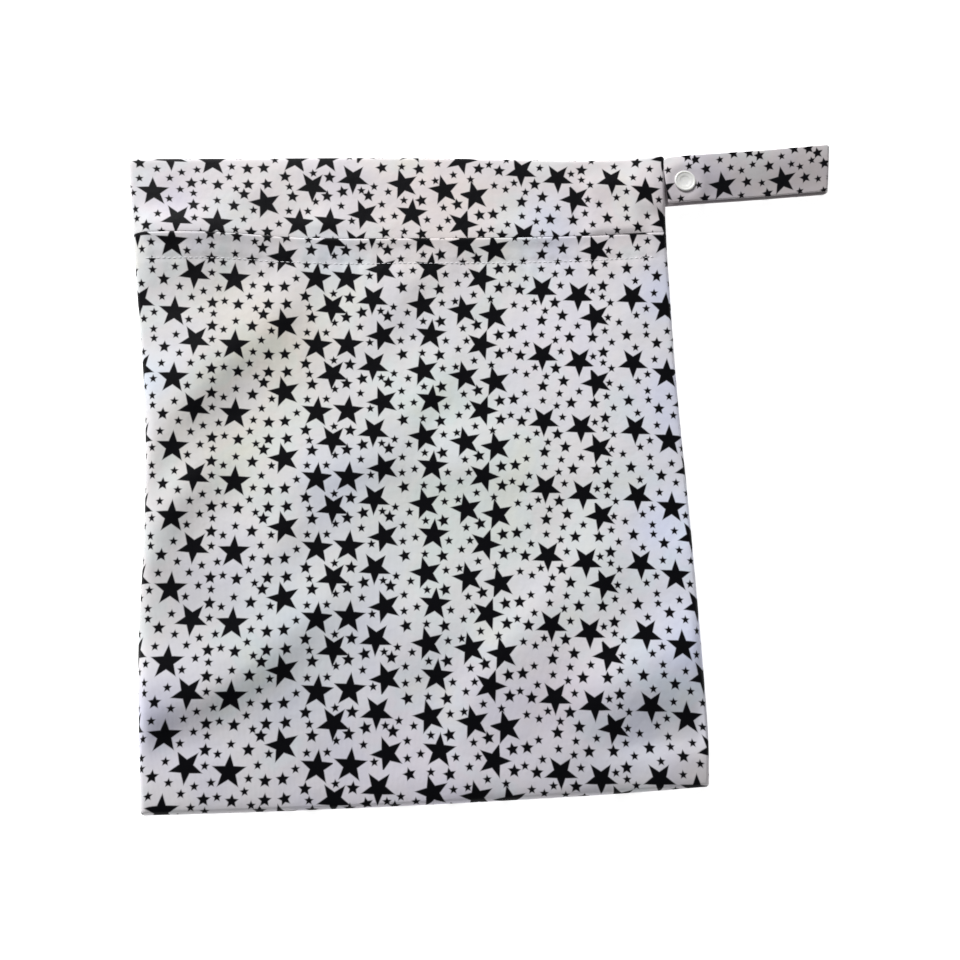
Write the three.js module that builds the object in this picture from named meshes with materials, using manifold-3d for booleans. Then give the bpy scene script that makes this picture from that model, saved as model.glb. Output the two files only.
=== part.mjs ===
// A cloth wet bag with a zip under a flap and a snap-on strap loop, lying flat on its back.
// Millimetres. +Z is up, out of the front of the bag. +Y points from the bottom seam to the top seam,
// +X to the seam that holds the strap. The origin is on the underside, in the middle of the bag.

import * as THREE from 'three';
import * as BufferGeometryUtils from 'three/addons/utils/BufferGeometryUtils.js';
import Module from 'manifold-3d';

const wasm = await Module();
wasm.setup();

// The bag and its cloth
const pouchWidth = 297;
const pouchHeight = 357;
const clothThickness = 1.0;
const clearance = 0.3;
const seamLoft = 5.0; // how far the front stands off the back, a little way in from the seams
const seamRoll = 6.0; // the distance over which a seam rolls up to that loft
const crownLoft = 2.6; // what the middle of the bag adds to it
const foldHeight = 3.4; // the tallest fold

// The flap and the zip under it
const flapDepth = 49; // top seam to hem
const hemDepth = 22; // the band of double cloth along the hem
const hemThickness = 1.6;
const zipSetback = 6.5; // hem to the middle of the coil
const zipTapeWidth = 28;
const zipTapeThickness = 0.7;
const zipEndInset = 6; // side seam to the end of the tapes
const coilWidth = 5;
const coilThickness = 2.2;
const sliderWidth = 8.5;
const sliderLength = 10;
const sliderPlate = 0.9;
const sliderPost = 3;
const sliderInset = 25.5; // right seam to the middle of the slider
const pullLength = 11;
const pullWidth = 4.5;
const plateCorner = 0.3; // share of a plate's shorter side
const zipStitchDrop = 14.5; // hem to the row of stitches that holds the zip's lower tape
const stitchDepth = 0.6;
const stitchReach = 2.4;

// The strap and its press snap
const strapLength = 102; // right seam to the fold
const strapWidth = 27;
const strapThickness = 1.0;
const strapTilt = 5; // degrees above the X axis
const strapCornerGap = 2.6; // top seam to the strap's edge
const strapTuck = 6; // the length held inside the seam
const strapEndLap = 0.4; // how far the free end of the upper run reaches over the seam
const strapEndRound = 6;
const loopGap = 2.4; // between the two runs at the fold
const settleShare = 0.6; // share of the way to the fold over which the runs come together
const endCrowding = 1.4; // draws the strap's steps together towards its free end
const snapInset = 11; // right seam to the middle of the snap
const snapDrop = 1.7; // how far the snap sits below the middle of the strap
const capDiameter = 12.4;
const capThickness = 0.8;
const capRim = 0.3;
const capWaist = 0.4; // share of the cap's thickness at which it is widest
const postDiameter = 2.2;
const studDiameter = 10.2;
const studFlange = 0.6;
const headDiameter = 4.4;
const headHeight = 1.2;
const socketWall = 0.6;

// How finely the cloth is divided
const seamCrowding = 0.6; // how strongly the steps draw together near the seams
const panelColumns = 36;
const panelRows = 35;
const bandRows = 9;
const strapColumns = 6;
const roundSides = 28;

// Side seams. up: share of the height. left, right: shares of half the width.
const sideSeams = [
  { up: 0.00, left: -0.958, right: 1.028 },
  { up: 0.08, left: -0.968, right: 1.035 },
  { up: 0.24, left: -0.981, right: 1.027 },
  { up: 0.42, left: -0.971, right: 1.013 },
  { up: 0.60, left: -0.981, right: 0.995 },
  { up: 0.80, left: -1.024, right: 0.988 },
  { up: 0.90, left: -1.044, right: 0.988 },
  { up: 1.00, left: -1.066, right: 0.996 },
];

// Bottom and top seams and the hem. across: share of the width. bottom, top: shares of half the
// height. flap: the depth of the flap there, as a share of flapDepth.
const levelSeams = [
  { across: 0.00, bottom: -1.012, top: 0.985, flap: 0.942 },
  { across: 0.15, bottom: -1.014, top: 0.988, flap: 0.963 },
  { across: 0.30, bottom: -1.014, top: 0.992, flap: 1.034 },
  { across: 0.50, bottom: -1.011, top: 0.996, flap: 1.051 },
  { across: 0.70, bottom: -1.005, top: 0.994, flap: 1.026 },
  { across: 0.86, bottom: -0.998, top: 0.992, flap: 0.984 },
  { across: 1.00, bottom: -0.988, top: 1.008, flap: 0.981 },
];

// Folds of the front panel. crest: three places on the fold's line, across and up, as shares of the
// width and the height. rise: share of foldHeight, below zero for a hollow.
// reach: share of the width over which the fold fades.
const folds = [
  { name: 'pack crease', crest: [[0.26, 0.475], [0.45, 0.503], [0.93, 0.498]], rise: 0.30, reach: 0.040 },
  { name: 'left shoulder', crest: [[0.03, 0.57], [0.146, 0.666], [0.277, 0.78]], rise: 0.75, reach: 0.050 },
  { name: 'left of hem', crest: [[0.02, 0.80], [0.09, 0.805], [0.16, 0.805]], rise: 0.40, reach: 0.030 },
  { name: 'upper middle', crest: [[0.42, 0.697], [0.467, 0.758], [0.53, 0.81]], rise: 0.45, reach: 0.042 },
  { name: 'middle', crest: [[0.46, 0.54], [0.50, 0.59], [0.55, 0.64]], rise: 0.45, reach: 0.042 },
  { name: 'left middle', crest: [[0.20, 0.333], [0.243, 0.40], [0.297, 0.445]], rise: 0.50, reach: 0.045 },
  { name: 'lower left', crest: [[0.02, 0.14], [0.18, 0.20], [0.32, 0.295]], rise: 1.00, reach: 0.052 },
  { name: 'left edge', crest: [[0.02, 0.39], [0.05, 0.44], [0.095, 0.49]], rise: 0.70, reach: 0.034 },
  { name: 'right roll', crest: [[0.82, 0.47], [0.82, 0.38], [0.83, 0.28]], rise: 0.25, reach: 0.050 },
  { name: 'lower right', crest: [[0.56, 0.07], [0.63, 0.195], [0.76, 0.31]], rise: 0.55, reach: 0.048 },
  { name: 'corner hump', crest: [[0.79, 0.11], [0.85, 0.185], [0.96, 0.23]], rise: 0.75, reach: 0.050 },
];

// Heights above the surface the bag lies on
const seamSeat = clothThickness + clearance;
const coilRise = coilThickness / 2 - zipTapeThickness / 2 - clearance;
const lapLift = Math.max(clothThickness, coilRise) + clearance;
const strapLift = strapThickness + clearance;
const plateTop = coilRise + clearance + sliderPlate;
const hemLift = Math.max(0, plateTop + 2 * clearance - lapLift);
const mouthSetback = sliderWidth / 2 + clearance;

function smooth(share) {
  const t = Math.min(1, Math.max(0, share));
  return t * t * (3 - 2 * t);
}

// Reads one column of a table at any share, with a smooth curve through its rows.
function readTable(rows, key, column, at) {
  let i = 0;
  while (i < rows.length - 2 && at > rows[i + 1][key]) i++;
  const before = rows[Math.max(0, i - 1)];
  const here = rows[i];
  const next = rows[i + 1];
  const after = rows[Math.min(rows.length - 1, i + 2)];
  const span = next[key] - here[key];
  const slopeHere = (next[column] - before[column]) / (next[key] - before[key]) * span;
  const slopeNext = (after[column] - here[column]) / (after[key] - here[key]) * span;
  const t = (at - here[key]) / span;
  const t2 = t * t;
  const t3 = t2 * t;
  return here[column] * (2 * t3 - 3 * t2 + 1) + slopeHere * (t3 - 2 * t2 + t)
    + next[column] * (3 * t2 - 2 * t3) + slopeNext * (t3 - t2);
}

function seamY(across, up) {
  const bottom = readTable(levelSeams, 'across', 'bottom', across) * pouchHeight / 2;
  const top = readTable(levelSeams, 'across', 'top', across) * pouchHeight / 2;
  return THREE.MathUtils.lerp(bottom, top, up);
}

function seamX(across, up) {
  const left = readTable(sideSeams, 'up', 'left', up) * pouchWidth / 2;
  const right = readTable(sideSeams, 'up', 'right', up) * pouchWidth / 2;
  return THREE.MathUtils.lerp(left, right, across);
}

// The share of the height at which a place across the bag reaches the height y.
function upAt(across, y) {
  return (y - seamY(across, 0)) / (seamY(across, 1) - seamY(across, 0));
}

function hemY(across) {
  return seamY(across, 1) - flapDepth * readTable(levelSeams, 'across', 'flap', across);
}

function coilY(across) {
  return hemY(across) + zipSetback;
}

// Height of the bag's inner face over the floor before any fold: it leaves the seam, rolls up to the
// seam's loft and swells towards the middle.
function innerHeight(across, up) {
  const sides = Math.min(across, 1 - across) * pouchWidth;
  const ends = Math.min(up, 1 - up) * pouchHeight;
  const roll = (1 - Math.exp(-sides / seamRoll)) * (1 - Math.exp(-ends / seamRoll));
  const crown = (1 - (2 * across - 1) ** 4) * (1 - (2 * up - 1) ** 2);
  return seamSeat + seamLoft * roll + crownLoft * crown;
}

// Distance from a place on the bag to a fold's crest, a curve through its three places.
function crestDistance(fold, x, y) {
  const steps = 12;
  let nearest = Infinity;
  let last = null;
  for (let i = 0; i <= steps; i++) {
    const t = i / steps;
    const weights = [(1 - t) * (1 - 2 * t), 4 * t * (1 - t), t * (2 * t - 1)];
    const [across, up] = [0, 1].map((axis) => weights.reduce(
      (sum, weight, place) => sum + weight * fold.crest[place][axis], 0,
    ));
    const point = new THREE.Vector2(seamX(across, up), seamY(across, up));
    if (last) {
      const line = new THREE.Vector2().subVectors(point, last);
      const share = ((x - last.x) * line.x + (y - last.y) * line.y) / line.lengthSq();
      const foot = last.clone().addScaledVector(line, Math.min(1, Math.max(0, share)));
      nearest = Math.min(nearest, Math.hypot(x - foot.x, y - foot.y));
    }
    last = point;
  }
  return nearest;
}

// All folds together, fading out at the seams and before the zip, and the groove of the zip's stitches.
function foldRelief(across, up) {
  const x = seamX(across, up);
  const y = seamY(across, up);
  const toSeam = Math.min(across * pouchWidth, (1 - across) * pouchWidth, up * pouchHeight);
  const toZip = coilY(across) - zipTapeWidth / 2 - y;
  let relief = 0;
  for (const fold of folds) {
    const distance = crestDistance(fold, x, y) / (fold.reach * pouchWidth);
    relief += foldHeight * fold.rise * Math.exp(-distance * distance);
  }
  const groove = (y - (hemY(across) - zipStitchDrop)) / stitchReach;
  return relief * smooth(toSeam / (2 * seamRoll)) * smooth(toZip / (2 * seamRoll))
    - stitchDepth * Math.exp(-groove * groove) * smooth(toSeam / seamRoll);
}

// A closed skin from a grid of places, each with a point on its outer face and one on its inner face.
function sheetSolid(columns, rows, placeAt) {
  const positions = [];
  const inner = [];
  for (let j = 0; j <= rows; j++) {
    for (let i = 0; i <= columns; i++) {
      const place = placeAt(i / columns, j / rows);
      positions.push(place.outer.x, place.outer.y, place.outer.z);
      inner.push(place.inner.x, place.inner.y, place.inner.z);
    }
  }
  const stride = columns + 1;
  const side = stride * (rows + 1);
  positions.push(...inner);
  const index = [];
  const quad = (a, b, c, d) => index.push(a, b, c, a, c, d);
  for (let j = 0; j < rows; j++) {
    for (let i = 0; i < columns; i++) {
      const a = j * stride + i;
      quad(a, a + 1, a + 1 + stride, a + stride);
      quad(side + a, side + a + stride, side + a + 1 + stride, side + a + 1);
    }
  }
  for (let i = 0; i < columns; i++) {
    const far = rows * stride + i;
    quad(side + i, side + i + 1, i + 1, i);
    quad(far, far + 1, side + far + 1, side + far);
  }
  for (let j = 0; j < rows; j++) {
    const a = j * stride;
    const b = a + columns;
    quad(a, a + stride, side + a + stride, side + a);
    quad(side + b, side + b + stride, b + stride, b);
  }
  const geometry = new THREE.BufferGeometry();
  geometry.setAttribute('position', new THREE.Float32BufferAttribute(positions, 3));
  geometry.setIndex(index);
  return BufferGeometryUtils.toCreasedNormals(geometry, Math.PI / 5);
}

// Cloth that covers part of the bag: across and up give the place, height gives its inner face.
function panelSheet(columns, rows, upAtRow, height, thickness) {
  return sheetSolid(columns, rows, (column, row) => {
    const across = crowdEnds(column);
    const up = upAtRow(across, row);
    const x = seamX(across, up);
    const y = seamY(across, up);
    const z = height(across, up);
    return {
      outer: new THREE.Vector3(x, y, z + thickness(across, up)),
      inner: new THREE.Vector3(x, y, z),
    };
  });
}

// Even steps that draw together near 0 and 1, where the seams roll.
function crowdEnds(share) {
  return share - seamCrowding * Math.sin(2 * Math.PI * share) / (2 * Math.PI);
}

function backPanel() {
  const outline = [];
  const steps = 30;
  for (let i = 0; i < steps; i++) outline.push([i / steps, 0]);
  for (let i = 0; i < steps; i++) outline.push([1, i / steps]);
  for (let i = 0; i < steps; i++) outline.push([1 - i / steps, 1]);
  for (let i = 0; i < steps; i++) outline.push([0, 1 - i / steps]);
  const points = outline.map(([across, up]) => new THREE.Vector2(seamX(across, up), seamY(across, up)));
  return new THREE.ExtrudeGeometry(new THREE.Shape(points), { depth: clothThickness, bevelEnabled: false });
}

function frontPanel() {
  const mouth = (across) => upAt(across, coilY(across) - mouthSetback);
  return panelSheet(
    panelColumns, panelRows,
    (across, row) => crowdEnds(row) * mouth(across),
    (across, up) => innerHeight(across, up) + foldRelief(across, up),
    () => clothThickness,
  );
}

// The strap leaves the right seam here.
const strapRoot = (() => {
  const y = seamY(1, 1) - strapCornerGap - strapWidth / 2;
  return new THREE.Vector2(seamX(1, upAt(1, y)), y);
})();

// What the upper band passes over: the front panel's edge and the zip, the slider, and the strap's root.
function bandLift(across, y) {
  const overZip = 1 - smooth((y - coilY(across) - zipTapeWidth / 2) / zipTapeWidth);
  const fromSeam = (1 - across) * pouchWidth;
  const alongSlider = Math.abs(fromSeam - sliderInset - pullLength / 2);
  const overSlider = 1 - smooth((alongSlider - (sliderLength + pullLength) / 2) / sliderLength);
  const besideStrap = Math.abs(y - strapRoot.y) - strapWidth / 2 - 2 * clearance;
  const beyondTuck = fromSeam - strapTuck;
  const overStrap = (1 - smooth(besideStrap / seamRoll)) * (1 - smooth(beyondTuck / (2 * seamRoll)));
  return lapLift * overZip + hemLift * overSlider * overZip + strapLift * overStrap;
}

function topBand() {
  return panelSheet(
    panelColumns, bandRows,
    (across, row) => THREE.MathUtils.lerp(upAt(across, hemY(across)), 1, row),
    (across, up) => innerHeight(across, up) + bandLift(across, seamY(across, up)),
    (across, up) => THREE.MathUtils.lerp(
      hemThickness, clothThickness, smooth((seamY(across, up) - hemY(across)) / hemDepth),
    ),
  );
}

// A flat strip of the zip from one height to another, both counted from the middle of the coil.
// Its thickness runs both ways from the middle of the tapes.
function zipStrip(from, to, rows, endShare, halfThickness) {
  const start = zipEndInset / pouchWidth;
  return sheetSolid(panelColumns, rows, (column, row) => {
    const across = THREE.MathUtils.lerp(start, endShare, column);
    const y = coilY(across) + THREE.MathUtils.lerp(from, to, row);
    const up = upAt(across, y);
    const half = halfThickness(row);
    const middle = innerHeight(across, up) - clearance - zipTapeThickness / 2;
    const x = seamX(across, up);
    return {
      outer: new THREE.Vector3(x, y, middle + half),
      inner: new THREE.Vector3(x, y, middle - half),
    };
  });
}

function zipTape(side) {
  const near = coilWidth / 2 + clearance;
  const far = zipTapeWidth / 2;
  const from = side > 0 ? near : -far;
  const to = side > 0 ? far : -near;
  return zipStrip(from, to, 1, 1 - zipEndInset / pouchWidth, () => zipTapeThickness / 2);
}

const sliderAcross = 1 - sliderInset / pouchWidth;

function zipCoil() {
  const rounded = (row) => coilThickness / 2 * (0.5 + 0.5 * Math.sin(Math.PI * row));
  return zipStrip(-coilWidth / 2, coilWidth / 2, 4, sliderAcross, rounded);
}

function roundedPlate(length, width, thickness) {
  const corner = Math.min(length, width) * plateCorner;
  const shape = new THREE.Shape();
  shape.moveTo(-length / 2 + corner, -width / 2);
  shape.lineTo(length / 2 - corner, -width / 2);
  shape.absarc(length / 2 - corner, -width / 2 + corner, corner, -Math.PI / 2, 0);
  shape.absarc(length / 2 - corner, width / 2 - corner, corner, 0, Math.PI / 2);
  shape.absarc(-length / 2 + corner, width / 2 - corner, corner, Math.PI / 2, Math.PI);
  shape.absarc(-length / 2 + corner, -width / 2 + corner, corner, Math.PI, 1.5 * Math.PI);
  return new THREE.ExtrudeGeometry(shape, { depth: thickness, bevelEnabled: false, curveSegments: 4 });
}

// A closed geometry as a solid that can be joined and cut, and back again.
function toSolid(geometry) {
  const bare = geometry.clone();
  bare.deleteAttribute('normal');
  bare.deleteAttribute('uv');
  const merged = BufferGeometryUtils.mergeVertices(bare);
  return new wasm.Manifold(new wasm.Mesh({
    numProp: 3,
    vertProperties: new Float32Array(merged.attributes.position.array),
    triVerts: new Uint32Array(merged.index.array),
  }));
}

function toGeometry(solid) {
  const mesh = solid.getMesh();
  const geometry = new THREE.BufferGeometry();
  geometry.setAttribute('position', new THREE.Float32BufferAttribute(mesh.vertProperties, 3));
  geometry.setIndex(Array.from(mesh.triVerts));
  return BufferGeometryUtils.toCreasedNormals(geometry, Math.PI / 5);
}

// Two plates over and under the coil, held by one post where the two rows of teeth part, with the
// pull as a tongue of the upper plate. Its own zero is the middle of the coil.
function zipSlider() {
  const plateBase = coilThickness / 2 + clearance;
  const upper = roundedPlate(sliderLength, sliderWidth, sliderPlate).translate(0, 0, plateBase);
  const lower = roundedPlate(sliderLength, sliderWidth, sliderPlate)
    .translate(0, 0, -plateBase - sliderPlate);
  const overlap = sliderLength / 3;
  const pull = roundedPlate(pullLength + overlap, pullWidth, sliderPlate)
    .translate(-sliderLength / 2 - pullLength / 2 + overlap / 2, 0, plateBase);
  const postHeight = 2 * plateBase + sliderPlate;
  const post = new THREE.BoxGeometry(sliderPost, sliderPost, postHeight)
    .translate(sliderPost / 2 + clearance, 0, 0);
  return toGeometry(toSolid(upper).add(toSolid(lower)).add(toSolid(pull)).add(toSolid(post)));
}

// Heights of the strap's runs and of the snap's parts, from the floor up.
const lowerRunAtRoot = seamSeat;
const lowerRunAtSnap = capThickness + clearance;
const studBase = lowerRunAtSnap + strapThickness + clearance;
const socketBase = studBase + studFlange + clearance;
const headTop = studBase + studFlange + headHeight;
const socketTop = headTop + clearance + socketWall;
const upperRunAtSnap = socketTop + clearance;
const capBase = upperRunAtSnap + strapThickness + clearance;

// The middle of the strap's cloth, seen from the side: along is measured from the seam, high from the
// floor. The lower run comes first, then the fold, then the upper run back to its free end.
function strapLine() {
  const half = strapThickness / 2;
  const turn = (loopGap + strapThickness) / 2;
  const turnAt = strapLength - turn - half;
  const flatEnd = snapInset + studDiameter / 2;
  const settle = (turnAt - flatEnd) * settleShare;
  const low = clearance + half;
  const high = low + 2 * turn;
  const lowerRun = (along) => {
    const toSnap = smooth(along / Math.max(1, snapInset - capDiameter / 2));
    const atSnap = THREE.MathUtils.lerp(lowerRunAtRoot, lowerRunAtSnap, toSnap) + half;
    return THREE.MathUtils.lerp(atSnap, low, smooth((along - flatEnd) / settle));
  };
  const upperRun = (along) => THREE.MathUtils.lerp(
    upperRunAtSnap + half, high, smooth((along - flatEnd) / settle),
  );
  const line = [];
  const runSteps = 20;
  const turnSteps = 8;
  for (let i = 0; i < runSteps; i++) {
    const along = THREE.MathUtils.lerp(-strapTuck, turnAt, i / runSteps);
    line.push({ along, high: lowerRun(along) });
  }
  for (let i = 0; i < turnSteps; i++) {
    const angle = -Math.PI / 2 + Math.PI * i / turnSteps;
    line.push({ along: turnAt + turn * Math.cos(angle), high: low + turn + turn * Math.sin(angle) });
  }
  const upperStart = line.length;
  for (let i = 0; i <= runSteps; i++) {
    const share = 1 - (1 - i / runSteps) ** endCrowding;
    const along = THREE.MathUtils.lerp(turnAt, -strapEndLap, share);
    line.push({ along, high: upperRun(along) });
  }
  return { line, upperStart };
}

function strapLoop() {
  const { line, upperStart } = strapLine();
  const last = line.length - 1;
  const geometry = sheetSolid(strapColumns, last, (column, row) => {
    const i = Math.round(row * last);
    const here = line[i];
    const before = line[Math.max(0, i - 1)];
    const after = line[Math.min(last, i + 1)];
    const tangent = new THREE.Vector2(after.along - before.along, after.high - before.high).normalize();
    const toEnd = i >= upperStart ? here.along + strapEndLap : strapEndRound;
    const cornerShare = Math.max(0, 1 - toEnd / strapEndRound);
    const trim = strapEndRound * (1 - Math.sqrt(1 - cornerShare * cornerShare));
    const side = (2 * column - 1) * (strapWidth / 2 - trim);
    const point = (offset) => new THREE.Vector3(
      here.along - tangent.y * offset, -side, here.high + tangent.x * offset,
    );
    return { outer: point(strapThickness / 2), inner: point(-strapThickness / 2) };
  });
  const tallest = upperRunAtSnap + 2 * strapThickness;
  const hole = new THREE.CylinderGeometry(
    postDiameter / 2 + clearance, postDiameter / 2 + clearance, 2 * tallest, roundSides / 2,
  ).rotateX(Math.PI / 2).translate(snapInset, -snapDrop, 0);
  return toGeometry(toSolid(geometry).subtract(toSolid(hole)));
}

// A round part turned about Z, from its profile of radius and height.
function turned(profile) {
  const points = profile.map(([radius, high]) => new THREE.Vector2(radius, high));
  return new THREE.LatheGeometry(points, roundSides).rotateX(Math.PI / 2);
}

// The cap shows: a flat disc with a raised rim, and the post that pins it through the cloth.
function snapCap() {
  const radius = capDiameter / 2;
  const post = postDiameter / 2;
  return turned([
    [0, headTop + clearance],
    [post, headTop + clearance],
    [post, capBase],
    [radius - capRim, capBase],
    [radius, capBase + capThickness * capWaist],
    [radius - capRim, capBase + capThickness + capRim],
    [radius - 5 * capRim, capBase + capThickness + capRim],
    [radius - 8 * capRim, capBase + capThickness],
    [0, capBase + capThickness],
  ]);
}

function snapSocket() {
  const bore = postDiameter / 2 + clearance;
  const cavity = headDiameter / 2 + clearance;
  const ceiling = headTop + clearance;
  return turned([
    [cavity, socketBase],
    [studDiameter / 2, socketBase],
    [studDiameter / 2, socketTop - clearance],
    [studDiameter / 2 - clearance, socketTop],
    [bore, socketTop],
    [bore, ceiling],
    [cavity, ceiling],
    [cavity, socketBase],
  ]);
}

function snapStud() {
  const bore = postDiameter / 2 + clearance;
  const head = headDiameter / 2;
  const boreTop = headTop - socketWall;
  return turned([
    [0, boreTop],
    [bore, boreTop],
    [bore, studBase],
    [studDiameter / 2, studBase],
    [studDiameter / 2, studBase + studFlange],
    [head - clearance, studBase + studFlange],
    [head, headTop - headHeight / 3],
    [head - clearance, headTop],
    [0, headTop],
  ]);
}

function snapBackCap() {
  const post = postDiameter / 2;
  const postTop = headTop - socketWall - clearance;
  return turned([
    [0, 0],
    [capDiameter / 2 - capRim, 0],
    [capDiameter / 2, capThickness / 2],
    [capDiameter / 2 - capRim, capThickness],
    [post, capThickness],
    [post, postTop],
    [0, postTop],
  ]);
}

const cloth = { color: 0xe6e4e8, roughness: 0.75, metalness: 0 };
const tape = { color: 0xe9e9ea, roughness: 0.9, metalness: 0 };
const zipPlastic = { color: 0xededee, roughness: 0.5, metalness: 0 };
const snapPlastic = { color: 0xf4f4f2, roughness: 0.3, metalness: 0 };

function piece(name, geometry, finish) {
  const mesh = new THREE.Mesh(geometry, new THREE.MeshStandardMaterial(finish));
  mesh.name = name;
  return mesh;
}

const bag = new THREE.Group();
bag.add(piece('back_panel', backPanel(), cloth));
bag.add(piece('front_panel', frontPanel(), cloth));
bag.add(piece('top_band', topBand(), cloth));

const zip = new THREE.Group();
zip.add(piece('zip_tape_lower', zipTape(-1), tape));
zip.add(piece('zip_tape_upper', zipTape(1), tape));
zip.add(piece('zip_coil', zipCoil(), zipPlastic));
bag.add(zip);

// The slider rides on the coil and leans with it.
function coilPoint(across) {
  const y = coilY(across);
  const up = upAt(across, y);
  const middle = innerHeight(across, up) - clearance - zipTapeThickness / 2;
  return new THREE.Vector3(seamX(across, up), y, middle);
}
const slider = piece('zip_slider', zipSlider(), zipPlastic);
const ahead = coilPoint(sliderAcross + sliderLength / 2 / pouchWidth);
const behind = coilPoint(sliderAcross - (sliderLength / 2 + pullLength) / pouchWidth);
const lean = new THREE.Vector3().subVectors(ahead, behind);
slider.position.copy(coilPoint(sliderAcross));
slider.rotation.set(0, -Math.atan2(lean.z, lean.x), Math.atan2(lean.y, lean.x), 'ZYX');
zip.add(slider);

const strap = new THREE.Group();
strap.position.set(strapRoot.x, strapRoot.y, 0);
strap.rotation.z = THREE.MathUtils.degToRad(strapTilt);
strap.add(piece('strap_loop', strapLoop(), cloth));
const snap = new THREE.Group();
snap.position.set(snapInset, -snapDrop, 0);
snap.add(piece('snap_cap', snapCap(), snapPlastic));
snap.add(piece('snap_socket', snapSocket(), snapPlastic));
snap.add(piece('snap_stud', snapStud(), snapPlastic));
snap.add(piece('snap_back_cap', snapBackCap(), snapPlastic));
strap.add(snap);
bag.add(strap);

export default bag;
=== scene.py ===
import math
import bpy
import numpy as np
from mathutils import Matrix


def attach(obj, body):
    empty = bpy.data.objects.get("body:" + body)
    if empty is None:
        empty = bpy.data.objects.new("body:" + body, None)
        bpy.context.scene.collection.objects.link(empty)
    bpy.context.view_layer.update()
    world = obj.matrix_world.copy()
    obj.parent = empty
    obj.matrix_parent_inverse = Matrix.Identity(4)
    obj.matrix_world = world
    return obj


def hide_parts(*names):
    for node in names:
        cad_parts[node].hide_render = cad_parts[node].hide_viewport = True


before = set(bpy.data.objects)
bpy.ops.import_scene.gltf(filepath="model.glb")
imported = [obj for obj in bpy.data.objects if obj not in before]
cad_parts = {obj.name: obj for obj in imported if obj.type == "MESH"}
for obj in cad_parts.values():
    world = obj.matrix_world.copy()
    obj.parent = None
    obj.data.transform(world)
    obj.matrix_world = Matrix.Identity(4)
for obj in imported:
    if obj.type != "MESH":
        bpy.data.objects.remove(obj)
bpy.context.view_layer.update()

# A cloth wet bag lying flat, with its zip under a flap and a strap loop closed by a press snap.
# Shapes are worked out in millimetres in the frame's own axes and become metres in the meshes.
mm = 0.001

# The camera stands above the bag and is tilted a little to one side. Its place is in metres.
camera = {
    "place": (-0.0087, -0.1093, 0.5833),
    "tilt": (9.711, -4.266, -0.794),  # degrees about X, Y and Z, in that order
    "lens": 40.5,
    "sensor": 36.0,
}


# The camera's turn is the product of its turns about X, Y and Z.
def makeCamera():
    lens = bpy.data.cameras.new("camera")
    lens.lens = camera["lens"]
    lens.sensor_width = camera["sensor"]
    lens.clip_start = 0.01
    seen = bpy.data.objects.new("camera", lens)
    turn = Matrix.Identity(3)
    for angle, axis in zip(camera["tilt"], "XYZ"):
        turn = turn @ Matrix.Rotation(math.radians(angle), 3, axis)
    seen.matrix_world = Matrix.Translation(camera["place"]) @ turn.to_4x4()
    bpy.context.scene.collection.objects.link(seen)
    bpy.context.scene.camera = seen


makeCamera()
print("camera is set")

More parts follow.
